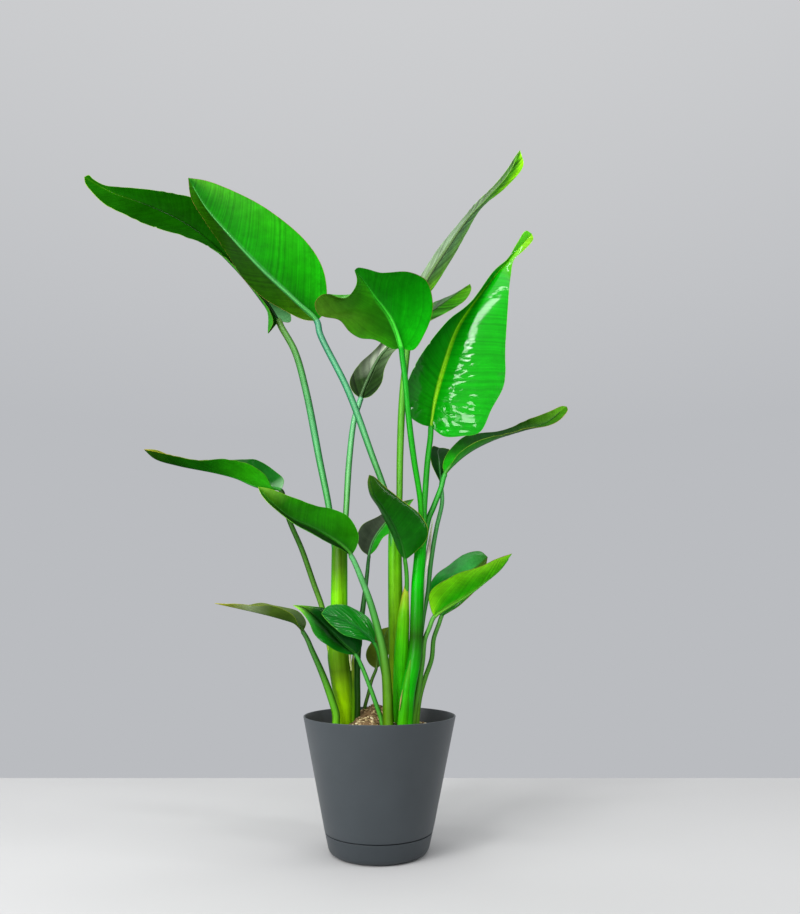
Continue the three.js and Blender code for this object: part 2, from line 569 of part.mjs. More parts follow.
// Soil: fills the pot up to its mounded surface
function soilSolid() {
  const [lower, upper] = POT_INSIDE.slice(-2);
  const wallRadius = (height) =>
    lower[0] + ((upper[0] - lower[0]) * (height - lower[1])) / (upper[1] - lower[1]);
  const sideTop = SOIL_EDGE_HEIGHT - 5;
  const side = POT_INSIDE.slice(0, -1).map(([radius, height]) => [radius - GAP, height]);
  const topRings = [0.9, 0.76, 0.62, 0.5, 0.38, 0.26, 0.13, 0];
  const edge = wallRadius(sideTop) - 2 * GAP;
  const profile = [[0, POT_FLOOR_TOP + GAP], [side[0][0] - 1, POT_FLOOR_TOP + GAP], ...side.slice(1),
    [edge, sideTop], ...topRings.map((share) => [share * edge, POT_HEIGHT])];
  const outline = profile.map(([radius, height]) => new THREE.Vector2(radius, height));
  const geometry = new THREE.LatheGeometry(outline, SOIL_STEPS).rotateX(Math.PI / 2);
  const position = geometry.getAttribute('position');
  for (let i = 0; i < position.count; i++) {
    if (position.getZ(i) > sideTop + 1) position.setZ(i, soilHeight(position.getX(i), position.getY(i)));
  }
  return solidFromGeometry(geometry);
}

// The part's group, one mesh for each piece
const group = new THREE.Group();

function addPiece(name, solid, material) {
  const { vertProperties, triVerts } = solid.simplify(SLIVER).getMesh();
  const geometry = new THREE.BufferGeometry();
  geometry.setAttribute('position', new THREE.BufferAttribute(vertProperties, 3));
  geometry.setIndex(new THREE.BufferAttribute(triVerts, 1));
  geometry.computeVertexNormals();
  const finish = new THREE.MeshStandardMaterial({ metalness: 0, ...MATERIALS[material] });
  const mesh = new THREE.Mesh(geometry, finish);
  mesh.name = name;
  group.add(mesh);
}

// A stalk's hole is cut in the stem or soil that it stands in, and a stem's hole in the soil
const plans = LEAVES.map((leaf) => new LeafPlan(leaf));
const stalkHoles = plans.map((plan) => stalkSolid(plan, GAP));
const stems = STEMS.map((stem) => largestBody(
  stalkHoles.reduce((solid, hole) => solid.subtract(hole), stemSolid(stem))));
const stemHoles = STEMS.map((stem) => stemSolid(stem, GAP));
const soil = largestBody(
  [...stalkHoles, ...stemHoles].reduce((solid, hole) => solid.subtract(hole), soilSolid()));

addPiece('saucer', saucerSolid(), 'saucer');
addPiece('pot', potSolid(), 'pot');
addPiece('soil', soil, 'soil');
STEMS.forEach((stem, i) => addPiece(stem.name, stems[i], 'stem'));
plans.forEach((plan) => addPiece(plan.leaf.name, bladeSolid(plan).add(stalkSolid(plan)), 'leaf'));

export default group;
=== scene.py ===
"""Potted bird of paradise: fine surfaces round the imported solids.

Metres, +Z up, -Y to the front, origin at the middle of the saucer's underside. Leaves, stems and soil
follow the same points as their solids, which are listed here in millimetres.
"""
import logging
import math
from collections.abc import Sequence
from dataclasses import dataclass, field
from enum import Enum

import bpy
import numpy as np
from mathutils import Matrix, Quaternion, Vector


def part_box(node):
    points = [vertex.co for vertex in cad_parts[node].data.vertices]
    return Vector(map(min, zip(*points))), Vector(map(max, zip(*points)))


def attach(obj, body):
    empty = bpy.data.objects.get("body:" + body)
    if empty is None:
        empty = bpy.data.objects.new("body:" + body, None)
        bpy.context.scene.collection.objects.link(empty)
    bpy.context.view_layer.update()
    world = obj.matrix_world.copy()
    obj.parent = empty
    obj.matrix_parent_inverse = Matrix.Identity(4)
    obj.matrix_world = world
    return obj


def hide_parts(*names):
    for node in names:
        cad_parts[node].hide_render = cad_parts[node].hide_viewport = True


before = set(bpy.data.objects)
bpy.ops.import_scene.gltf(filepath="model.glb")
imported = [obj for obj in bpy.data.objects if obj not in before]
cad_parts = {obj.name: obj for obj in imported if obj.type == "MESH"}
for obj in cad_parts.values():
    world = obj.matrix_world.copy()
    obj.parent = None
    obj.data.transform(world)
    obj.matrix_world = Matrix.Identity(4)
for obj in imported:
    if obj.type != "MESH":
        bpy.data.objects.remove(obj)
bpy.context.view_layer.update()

log = logging.getLogger("bird_of_paradise")

MM = 0.001
BODY = "root"
SEED = 7

Point = tuple[float, float, float]
Stops = tuple[str, ...]
Socket = bpy.types.NodeSocket
Value = float | tuple[float, ...] | bpy.types.NodeSocket


class Side(Enum):
    """Which side of a blade faces the front."""

    UPPER = 1
    UNDERSIDE = -1


# Colour and materials


def linear(hex_colour: str) -> np.ndarray:
    """Turn an sRGB hex colour to linear light.

    Args:
        hex_colour: Six hex digits.

    Returns:
        Red, green, blue and an alpha of 1.
    """
    srgb = np.array([int(hex_colour[i:i + 2], 16) for i in (0, 2, 4)]) / 255
    low, high = srgb / 12.92, ((srgb + 0.055) / 1.055) ** 2.4
    return np.append(np.where(srgb <= 0.04045, low, high), 1.0)


def blend_stops(stops: Stops, share: np.ndarray) -> np.ndarray:
    """Blend evenly spaced colour stops.

    Args:
        stops: Hex colours from share 0 to share 1.
        share: Places to read, any shape.

    Returns:
        Linear colours, the shape of share with a last axis of 4.
    """
    colours = np.array([linear(stop) for stop in stops])
    places = np.linspace(0, 1, len(stops))
    return np.stack([np.interp(share, places, channel) for channel in colours.T], -1)


def per_mm(size_mm: float) -> float:
    """Scale of a noise pattern whose largest patches are this many mm wide."""
    return 1 / (size_mm * MM)


def add_node(tree: bpy.types.NodeTree, kind: str, inputs: dict[str | int, Value] | None = None,
             output: str | int = 0, **settings: object) -> Socket:
    """Add a shader node with its settings and links.

    Args:
        tree: Node tree that takes it.
        kind: The node's type without its ShaderNode prefix.
        inputs: A value or an output socket for each named or numbered input.
        output: Name or number of the output to return.
        settings: The node's own options.

    Returns:
        The output socket.
    """
    node = tree.nodes.new("ShaderNode" + kind)
    for name, value in settings.items():
        setattr(node, name, value)
    for key, value in (inputs or {}).items():
        if isinstance(value, bpy.types.NodeSocket):
            tree.links.new(value, node.inputs[key])
        else:
            node.inputs[key].default_value = value
    return node.outputs[output]


# Range that a noise pattern mostly keeps to
LOW, HIGH = 0.3, 0.7
# Numbered sockets of a Mix node set to colours
MIX_A, MIX_B, MIX_RESULT = 6, 7, 2


@dataclass(frozen=True)
class Finish:
    """Material with its name, gloss and pattern. A subclass adds its own pattern nodes.

    Attributes:
        name: Common name and how the surface was made.
        roughness: Spread of its reflections.
        specular: Specular level, where 0.5 is the IOR's own.
        ior: Index of refraction.
        coat: Weight of a clear outer layer.
        coat_roughness: Spread of that layer's reflections.
    """

    name: str
    roughness: float
    specular: float = 0.5
    ior: float = 1.45
    coat: float = 0.0
    coat_roughness: float = 0.2

    def build(self) -> bpy.types.Material:
        """Make the Blender material.

        Returns:
            The material, with its pattern linked to the shader.
        """
        material = bpy.data.materials.new(self.name)
        material.use_nodes = True
        tree = material.node_tree
        shader = tree.nodes["Principled BSDF"]
        settings = {"Roughness": self.roughness, "IOR": self.ior, "Specular IOR Level": self.specular,
                    "Coat Weight": self.coat, "Coat Roughness": self.coat_roughness}
        for name, value in settings.items():
            shader.inputs[name].default_value = value
        for name, socket in self.pattern(tree).items():
            tree.links.new(socket, shader.inputs[name])
        return material

    def pattern(self, tree: bpy.types.NodeTree) -> dict[str, Socket]:
        """Add the nodes for the finish's colour, roughness and bump.

        Args:
            tree: Node tree that takes them.

        Returns:
            The output socket for each input of the shader that they drive.
        """
        raise NotImplementedError


@dataclass(frozen=True)
class MouldedPlastic(Finish):
    """Injection-moulded polypropylene: satin, with the fine texture of its mould.

    Attributes:
        colour: Hex colour of the plastic.
        inner: Hex colour inside, darker: painted shade on the inner wall, which is seen unlit.
    """

    colour: str = "54595c"
    inner: str = "33383b"

    def pattern(self, tree: bpy.types.NodeTree) -> dict[str, Socket]:
        """Cloudy tone 60 mm wide, mould texture of 0.8 mm, drawn coarser than the real 0.2 mm to show.

        Args:
            tree: Node tree that takes the nodes.

        Returns:
            Colour, roughness and bump.
        """
        place = add_node(tree, "TexCoord", output="Object")
        inside = add_node(tree, "Attribute", output="Fac", attribute_name="inside")
        outer, inner = (tuple(linear(colour)) for colour in (self.colour, self.inner))
        # The inside takes the darker inner colour: painted shade on the inner wall
        base = add_node(tree, "Mix", {0: inside, MIX_A: outer, MIX_B: inner}, MIX_RESULT, data_type="RGBA")
        patches = add_node(tree, "TexNoise", {"Vector": place, "Scale": per_mm(60), "Detail": 2})
        cloud = add_node(tree, "MapRange", {0: patches, 1: LOW, 2: HIGH, 3: 0.94, 4: 1.06})
        grain = add_node(tree, "TexNoise", {"Vector": place, "Scale": per_mm(0.8), "Detail": 1})
        least, most = self.roughness - 0.05, self.roughness + 0.05
        return {"Base Color": add_node(tree, "VectorMath", {0: base, "Scale": cloud}, operation="SCALE"),
                "Roughness": add_node(tree, "MapRange", {0: grain, 1: LOW, 2: HIGH, 3: least, 4: most}),
                "Normal": add_node(tree, "Bump", {"Height": grain, "Strength": 0.12, "Distance": 0.03 * MM})}


@dataclass(frozen=True)
class BarkMix(Finish):
    """Bark and peat potting mix: matt crumbs, each with a tone of its own, darker in the gaps."""

    def pattern(self, tree: bpy.types.NodeTree) -> dict[str, Socket]:
        """Each crumb's own tone, with fibres of 1.2 mm over it and a crumbly bump of 0.9 mm.

        Args:
            tree: Node tree that takes the nodes.

        Returns:
            Colour and bump.
        """
        place = add_node(tree, "TexCoord", output="Object")
        tone = add_node(tree, "Attribute", output="Color", attribute_name="tone")
        fibres = add_node(tree, "TexNoise", {"Vector": place, "Scale": per_mm(1.2), "Detail": 3})
        speckle = add_node(tree, "MapRange", {0: fibres, 1: LOW, 2: HIGH, 3: 0.6, 4: 1.35})
        crumble = add_node(tree, "TexNoise", {"Vector": place, "Scale": per_mm(0.9), "Detail": 3})
        return {"Base Color": add_node(tree, "VectorMath", {0: tone, "Scale": speckle}, operation="SCALE"),
                "Normal": add_node(tree, "Bump", {"Height": crumble, "Strength": 0.7, "Distance": 0.5 * MM})}


@dataclass(frozen=True)
class LeafBlade(Finish):
    """Living leaf blade: waxy skin over parallel side veins, a few of which show as fine lighter lines:
    partly pale veins, partly painted highlight where the pleats along them catch the light.

    Attributes:
        vein_gap: Mean distance between two lines in mm.
        vein_light: How much lighter a line is, at most.
        streak: How much the tone changes from fibre to fibre.
        fibre: Width of a fibre in mm.
        mottle: How much the tone changes in soft patches.
        relief: Height of the fibre relief in mm.
        wrinkle: Height of soft wrinkles across the blade near its base in mm.
    """

    vein_gap: float = 15.0
    vein_light: float = 0.3
    streak: float = 0.1
    fibre: float = 7.0
    mottle: float = 0.16
    relief: float = 0.08
    wrinkle: float = 0.0

    def pattern(self, tree: bpy.types.NodeTree) -> dict[str, Socket]:
        """Uneven lines and fibres along the blade's "lie", and soft patches 26 and 7 mm wide.

        lie holds the place across the veins, the distance from the rib and the distance to the margin,
        all in metres. The place is shifted by up to 4 mm in waves 45 mm wide, which makes the gaps uneven.
        Lines fade towards the rib and the margin, and from patch to patch.

        Args:
            tree: Node tree that takes the nodes.

        Returns:
            Colour, roughness and bump, also for the coat.
        """
        place = add_node(tree, "TexCoord", output="Object")
        tone = add_node(tree, "Attribute", output="Color", attribute_name="tone")
        lie = add_node(tree, "Attribute", output="Vector", attribute_name="lie")
        across, beyond_rib, inset = (add_node(tree, "SeparateXYZ", {0: lie}, axis) for axis in "XYZ")
        waves = add_node(tree, "TexNoise", {"W": across, "Scale": per_mm(45), "Detail": 1},
                         noise_dimensions="1D")
        bends = add_node(tree, "TexNoise", {"Vector": place, "Scale": per_mm(40), "Detail": 1})
        sway = add_node(tree, "MapRange", {0: waves, 1: LOW, 2: HIGH, 3: -4 * MM, 4: 4 * MM})
        wobble = add_node(tree, "MapRange", {0: bends, 1: LOW, 2: HIGH, 3: -0.8 * MM, 4: 0.8 * MM})
        shifted = add_node(tree, "Math", {0: across, 1: sway}, operation="ADD")
        bent = add_node(tree, "Math", {0: shifted, 1: wobble}, operation="ADD")
        fibres = add_node(tree, "TexNoise", {"W": bent, "Scale": per_mm(self.fibre), "Detail": 2},
                          noise_dimensions="1D")
        broad, small = (add_node(tree, "TexNoise", {"Vector": place, "Scale": per_mm(size), "Detail": 2})
                        for size in (26, 7))
        shade = 1.0
        for source, change in ((broad, self.mottle), (small, 0.4 * self.mottle), (fibres, self.streak)):
            level = add_node(tree, "MapRange", {0: source, 1: LOW, 2: HIGH, 3: 1 - change, 4: 1 + change})
            shade = add_node(tree, "Math", {0: shade, 1: level}, operation="MULTIPLY")
        streaked = add_node(tree, "VectorMath", {0: tone, "Scale": shade}, operation="SCALE")
        # Vein lines: partly pale veins, partly painted highlight on the pleats along them
        lighter = add_node(tree, "VectorMath", {0: tone, 1: (2.0, 1.8, 1.6), 2: (0.01, 0.02, 0.004)},
                           operation="MULTIPLY_ADD")
        fold = add_node(tree, "Math", {0: bent, 1: self.vein_gap * MM / 2}, operation="PINGPONG")
        seen = add_node(tree, "MapRange", {0: fold, 1: 0.1 * MM, 2: 0.7 * MM, 3: self.vein_light, 4: 0.0})
        for source, none, full, least in ((inset, 2 * MM, 14 * MM, 0.0), (beyond_rib, 1 * MM, 5 * MM, 0.3),
                                          (broad, 0.35, 0.6, 0.25)):
            fade = add_node(tree, "MapRange", {0: source, 1: none, 2: full, 3: least, 4: 1.0})
            seen = add_node(tree, "Math", {0: seen, 1: fade}, operation="MULTIPLY")
        colour = add_node(tree, "Mix", {0: seen, MIX_A: streaked, MIX_B: lighter}, MIX_RESULT,
                          data_type="RGBA")
        sharp, dull = self.roughness - 0.03, self.roughness + 0.06
        height = add_node(tree, "Math", {0: fibres, 1: broad}, operation="ADD")
        normal = add_node(tree, "Bump", {"Height": height, "Strength": 0.5, "Distance": self.relief * MM})
        if self.wrinkle:
            squeezed = add_node(tree, "VectorMath", {0: lie, 1: (1.0, 0.4, 0.0)}, operation="MULTIPLY")
            near_base = add_node(tree, "MapRange", {0: across, 1: 40 * MM, 2: 170 * MM, 3: 1.0, 4: 0.1})
            swell = add_node(tree, "TexNoise", {"Vector": squeezed, "Scale": per_mm(24), "Detail": 1})
            crease = add_node(tree, "Math", {0: swell, 1: 0.13}, operation="PINGPONG")
            folds = add_node(tree, "Math", {0: crease, 1: near_base}, operation="MULTIPLY")
            normal = add_node(tree, "Bump", {"Height": folds, "Strength": 1.0, "Normal": normal,
                                             "Distance": self.wrinkle * MM})
        return {"Base Color": colour,
                "Roughness": add_node(tree, "MapRange", {0: small, 1: LOW, 2: HIGH, 3: sharp, 4: dull}),
                "Normal": normal, "Coat Normal": normal}


@dataclass(frozen=True)
class LeafStalk(Finish):
    """Living leaf stalk or sheath: smooth waxy skin with fine fibres along it.

    Attributes:
        fibre: Width of a fibre in mm.
        streak: How much the tone changes from fibre to fibre.
    """

    fibre: float = 2.4
    streak: float = 0.12

    def pattern(self, tree: bpy.types.NodeTree) -> dict[str, Socket]:
        """Fibres along the stalk, from noise stretched 40 times along the way that "lie" gives.

        Args:
            tree: Node tree that takes the nodes.

        Returns:
            Colour, roughness and bump.
        """
        place = add_node(tree, "TexCoord", output="Object")
        tone = add_node(tree, "Attribute", output="Color", attribute_name="tone")
        lie = add_node(tree, "Attribute", output="Vector", attribute_name="lie")
        along = add_node(tree, "VectorMath", {0: lie, 1: (1.0, 1.0, 0.025)}, operation="MULTIPLY")
        fibres = add_node(tree, "TexNoise", {"Vector": along, "Scale": per_mm(self.fibre), "Detail": 2})
        patches = add_node(tree, "TexNoise", {"Vector": place, "Scale": per_mm(22), "Detail": 2})
        both = add_node(tree, "Math", {0: fibres, 1: patches}, operation="ADD")
        level = add_node(tree, "MapRange", {0: both, 1: 0.7, 2: 1.3, 3: 1 - self.streak, 4: 1 + self.streak})
        least, most = self.roughness - 0.05, self.roughness + 0.08
        return {"Base Color": add_node(tree, "VectorMath", {0: tone, "Scale": level}, operation="SCALE"),
                "Roughness": add_node(tree, "MapRange", {0: patches, 1: LOW, 2: HIGH, 3: least, 4: most}),
                "Normal": add_node(tree, "Bump", {"Height": fibres, "Strength": 0.35, "Distance": 0.05 * MM})}


@dataclass(frozen=True)
class PaintedBoard(Finish):
    """Matt painted studio board, plain and pale.

    Attributes:
        colour: Hex colour of the paint.
    """

    colour: str = "bebebe"

    def pattern(self, tree: bpy.types.NodeTree) -> dict[str, Socket]:
        """Barely cloudy paint, 400 mm wide patches.

        Args:
            tree: Node tree that takes the nodes.

        Returns:
            Colour.
        """
        place = add_node(tree, "TexCoord", output="Object")
        patches = add_node(tree, "TexNoise", {"Vector": place, "Scale": per_mm(400), "Detail": 2})
        cloud = add_node(tree, "MapRange", {0: patches, 1: LOW, 2: HIGH, 3: 0.985, 4: 1.0})
        paint = tuple(linear(self.colour)[:3])
        return {"Base Color": add_node(tree, "VectorMath", {0: paint, "Scale": cloud}, operation="SCALE")}


# Satin mould skin: broad soft highlights that show the taper and no reflected shapes
POT_PLASTIC = MouldedPlastic("polypropylene_pot_moulded", roughness=0.4, specular=0.45, colour="3b4145")
SAUCER_PLASTIC = MouldedPlastic("polypropylene_saucer_moulded", roughness=0.42, specular=0.45,
                                colour="363c40")
# Dry crumbs scatter the light: no sheen, and dark gaps between pale chips
POTTING_MIX = BarkMix("bark_and_peat_loose", roughness=0.95, specular=0.1)
# Thin wax over soft tissue: a low IOR keeps the glancing sheen faint, and the coat adds the gloss
LEAF_UPPER = LeafBlade("living_leaf_upper_waxed", roughness=0.4, ior=1.04, coat=0.1, coat_roughness=0.1)
# Full sun leaf: mirror-like patches that break up over its wrinkles, vein lines partly painted pleat
# highlight
LEAF_GLOSSY = LeafBlade("living_leaf_upper_glossy", roughness=0.3, ior=1.08, coat=0.5, coat_roughness=0.07,
                        vein_gap=18, vein_light=0.3, fibre=6, streak=0.14, mottle=0.08, relief=0.02,
                        wrinkle=6.0)
# Wax over raised fibres: the reflections run in narrow streaks along the veins
LEAF_SHINY = LeafBlade("living_leaf_upper_shiny", roughness=0.4, ior=1.04, coat=0.2, coat_roughness=0.08,
                       vein_gap=9, vein_light=0.15, streak=0.12, fibre=4, relief=0.22)
# Older wax: deep green with next to no shine
LEAF_MATT = LeafBlade("living_leaf_upper_weathered", roughness=0.6, ior=1.02, vein_gap=13, vein_light=0.1)
# Undersides have less wax: a dull even sheen, and more of the veins to see
LEAF_UNDER = LeafBlade("living_leaf_underside", roughness=0.5, ior=1.04, coat=0.03, coat_roughness=0.35)
# Pale side veins that stand out clearly on a dull ground, partly painted highlight on the pleats along them
LEAF_VEINED = LeafBlade("living_leaf_underside_veined", roughness=0.5, ior=1.05, coat=0.03,
                        coat_roughness=0.3, vein_gap=26, vein_light=0.55, streak=0.2, fibre=7, relief=0.2)
# Pleats side by side: wide grey streaks of painted sheen between green ones
LEAF_PLEATED = LeafBlade("living_leaf_underside_pleated", roughness=0.45, ior=1.1, coat=0.08,
                         coat_roughness=0.3, vein_gap=24, vein_light=0.3, streak=0.5, fibre=15, relief=0.4)
# Smooth juicy skin: a soft gleam along the side that faces the light
STALK = LeafStalk("living_leaf_stalk_smooth", roughness=0.4, ior=1.08, coat=0.14, coat_roughness=0.22)
# Firmer than a stalk: finer and stronger streaks under the same gleam
SHEATH = LeafStalk("living_leaf_sheath_smooth", roughness=0.45, ior=1.1, coat=0.1, coat_roughness=0.25,
                   fibre=1.6, streak=0.16)
# Dried to paper: pale, matt and streaky
DRY_SHEATH = LeafStalk("dry_leaf_sheath_papery", roughness=0.8, specular=0.1, fibre=0.9, streak=0.3)
# Flat paint: even tone, no reflection of the pot
FLOOR_PAINT = PaintedBoard("painted_board_matt", roughness=0.9, specular=0.1)


class Palette:
    """The scene's materials, each built once from its finish."""

    def __init__(self) -> None:
        """Start with no material built."""
        self.built: dict[str, bpy.types.Material] = {}

    def get(self, finish: Finish) -> bpy.types.Material:
        """Return a finish's material, built on first use.

        Args:
            finish: The finish.

        Returns:
            Its material.
        """
        if finish.name not in self.built:
            self.built[finish.name] = finish.build()
        return self.built[finish.name]


# Surfaces


class Route:
    """Smooth path through points, walked by its length.

    Between two points it runs along the cubic of a centripetal Catmull-Rom curve, whose slope at each point
    comes from both neighbours, with steps sized by the square root of the distances.
    """

    STEPS = 96

    def __init__(self, points: Sequence[Point]) -> None:
        """Sample the curve.

        Args:
            points: Control points in mm.
        """
        knots = np.asarray(points, float)
        count = len(knots)
        padded = np.vstack([2 * knots[0] - knots[1], knots, 2 * knots[-1] - knots[-2]])
        gaps = np.linalg.norm(np.diff(padded, axis=0), axis=1) ** 0.5
        place = np.linspace(0, count - 1, self.STEPS * (count - 1) + 1)
        i = np.minimum(place.astype(int), count - 2)
        w = (place - i)[:, None]
        before, start, end, after = (padded[i + k] for k in range(4))
        g0, g1, g2 = (gaps[i + k][:, None] for k in range(3))
        slope_a = ((start - before) / g0 - (end - before) / (g0 + g1) + (end - start) / g1) * g1
        slope_b = ((end - start) / g1 - (after - start) / (g1 + g2) + (after - end) / g2) * g1
        square = (3 * (end - start) - 2 * slope_a - slope_b) * w ** 2
        cube = (2 * (start - end) + slope_a + slope_b) * w ** 3
        self.samples = start + slope_a * w + square + cube
        steps = np.linalg.norm(np.diff(self.samples, axis=0), axis=1)
        self.lengths = np.concatenate([[0.0], np.cumsum(steps)])

    @property
    def total(self) -> float:
        """Length of the whole path in mm."""
        return float(self.lengths[-1])

    def length_at(self, index: int) -> float:
        """Length up to a control point."""
        return float(self.lengths[index * self.STEPS])

    def at(self, lengths: np.ndarray) -> np.ndarray:
        """Points at lengths along the path, with a last axis of 3."""
        return np.stack([np.interp(lengths, self.lengths, axis) for axis in self.samples.T], -1)


def unit(vectors: np.ndarray) -> np.ndarray:
    """Vectors scaled to a length of 1."""
    return vectors / np.maximum(np.linalg.norm(vectors, axis=-1, keepdims=True), 1e-12)


def smooth(value: np.ndarray, low: float, high: float) -> np.ndarray:
    """Ease from 0 at low to 1 at high, level at both ends."""
    t = np.clip((value - low) / (high - low), 0, 1)
    return t * t * (3 - 2 * t)


@dataclass
class Skin:
    """Closed surface of rings, each joined to the next, with a pole at either end.

    Attributes:
        rings: Points in mm, shape (rings, points in a ring, 3).
        poles: The first and the last pole, shape (2, 3).
        tones: Linear colours of the ring points, shape (rings, points in a ring, 4).
        lie: Pattern places of the ring points in mm, shape (rings, points in a ring, 3).
        slots: Material slot of each strip between two neighbours in a ring.
        inside: Share of each ring that lies inside the piece, shape (rings,).
    """

    rings: np.ndarray
    poles: np.ndarray
    tones: np.ndarray | None = None
    lie: np.ndarray | None = None
    slots: np.ndarray | None = None
    inside: np.ndarray | None = None

    def faces(self) -> tuple[np.ndarray, np.ndarray, np.ndarray]:
        """Index the faces.

        Returns:
            Quads, triangles, and the material slot of each face, quads first. All face outwards, which is
            where the volume under them is positive.
        """
        rows, around = self.rings.shape[:2]
        first = np.arange(around)
        following = np.roll(first, -1)
        start = np.arange(rows - 1)[:, None] * around
        ahead = start + around
        quads = np.stack([start + first, start + following, ahead + following, ahead + first], -1)
        last = (rows - 1) * around
        foot, top = rows * around, rows * around + 1
        low = np.stack([np.full(around, foot), following, first], -1)
        high = np.stack([np.full(around, top), last + first, last + following], -1)
        quads, triangles = quads.reshape(-1, 4), np.vstack([low, high])
        slots = np.zeros(around, int) if self.slots is None else self.slots
        points = self.points()
        halves = np.vstack([quads[:, [0, 1, 2]], quads[:, [0, 2, 3]], triangles])
        a, b, c = (points[halves[:, k]] for k in range(3))
        if np.einsum("ij,ij->", a, np.cross(b, c)) < 0:
            quads, triangles = quads[:, ::-1], triangles[:, ::-1]
        return quads, triangles, np.concatenate([np.tile(slots, rows - 1), slots, slots])

    def points(self) -> np.ndarray:
        """All points in mm: the rings, then both poles."""
        return np.vstack([self.rings.reshape(-1, 3), self.poles])

    def spread(self, values: np.ndarray | None, width: int) -> np.ndarray:
        """Values of the ring points, with the mean of the end rings at the poles.

        Args:
            values: Shape (rings, points in a ring, width), or None for zeros.
            width: Numbers for each point.

        Returns:
            Shape (points, width).
        """
        if values is None:
            return np.zeros((self.rings.shape[0] * self.rings.shape[1] + 2, width))
        ends = np.stack([values[0].mean(0), values[-1].mean(0)])
        return np.vstack([values.reshape(-1, width), ends])


def make_piece(name: str, skins: Sequence[Skin], materials: Sequence[bpy.types.Material],
               sharp_angle: float = 60.0) -> bpy.types.Object:
    """Put closed surfaces into one mesh object at the origin.

    Args:
        name: The object's name.
        skins: Surfaces in mm.
        materials: One for each slot that the skins name.
        sharp_angle: Edges that bend more than this many degrees stay sharp.

    Returns:
        The object, linked to the scene.
    """
    loops, sizes, slots, offset = [], [], [], 0
    for skin in skins:
        quads, triangles, face_slots = skin.faces()
        loops += [(quads + offset).ravel(), (triangles + offset).ravel()]
        sizes += [np.full(len(quads), 4), np.full(len(triangles), 3)]
        slots.append(face_slots)
        offset += len(skin.points())
    corners, sizes = np.concatenate(loops), np.concatenate(sizes)
    starts = np.concatenate([[0], np.cumsum(sizes)[:-1]])
    mesh = bpy.data.meshes.new(name)
    mesh.vertices.add(offset)
    mesh.vertices.foreach_set("co", np.vstack([skin.points() for skin in skins]).ravel() * MM)
    mesh.loops.add(len(corners))
    mesh.loops.foreach_set("vertex_index", corners.astype(np.int32))
    mesh.polygons.add(len(sizes))
    mesh.polygons.foreach_set("loop_start", starts.astype(np.int32))
    mesh.polygons.foreach_set("material_index", np.concatenate(slots).astype(np.int32))
    mesh.update(calc_edges=True)
    mesh.validate()
    tones = np.vstack([skin.spread(skin.tones, 4) for skin in skins])
    lie = np.vstack([skin.spread(skin.lie, 3) for skin in skins]) * MM
    inside = np.concatenate([
        skin.spread(None if skin.inside is None
                    else np.repeat(skin.inside, skin.rings.shape[1]).reshape(*skin.rings.shape[:2], 1), 1)
        for skin in skins])
    mesh.attributes.new("tone", "FLOAT_COLOR", "POINT").data.foreach_set("color", tones.ravel())
    mesh.attributes.new("lie", "FLOAT_VECTOR", "POINT").data.foreach_set("vector", lie.ravel())
    mesh.attributes.new("inside", "FLOAT", "POINT").data.foreach_set("value", inside.ravel())
    mesh.shade_smooth()
    mesh.set_sharp_from_angle(angle=math.radians(sharp_angle))
    for material in materials:
        mesh.materials.append(material)
    piece = bpy.data.objects.new(name, mesh)
    bpy.context.scene.collection.objects.link(piece)
    return piece


def settle(piece: bpy.types.Object, slot: str, *nodes: str) -> None:
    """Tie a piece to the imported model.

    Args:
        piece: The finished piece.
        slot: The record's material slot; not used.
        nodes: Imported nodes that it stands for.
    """
    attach(piece, BODY)
    if nodes:
        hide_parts(*nodes)
    log.info("%s: %d faces", piece.name, len(piece.data.polygons))


def tube_rings(centres: np.ndarray, radii: np.ndarray) -> np.ndarray:
    """Rings of points square to a path.

    Each ring stands on the path's direction crossed with Y, and its angle 90 degrees faces the front of an
    upright path.

    Args:
        centres: Ring centres, shape (rings, 3).
        radii: Radius of each point, shape (rings, points in a ring).

    Returns:
        Points, shape (rings, points in a ring, 3).
    """
    along = unit(np.gradient(centres, axis=0))
    across = unit(np.cross(along, [0.0, 1.0, 0.0]))
    over = np.cross(along, across)
    angles = np.linspace(0, 2 * np.pi, radii.shape[1], endpoint=False)
    arms = across[:, None] * np.cos(angles)[:, None] + over[:, None] * np.sin(angles)[:, None]
    return centres[:, None] + arms * radii[..., None]


# Leaves


@dataclass(frozen=True)
class Tear:
    """Notch in a blade's margin.

    Attributes:
        right: Whether it is in the right margin.
        share: Its place from the blade's base to its tip.
        depth: Depth in mm.
        width: Half width in mm.
    """

    right: bool
    share: float
    depth: float
    width: float


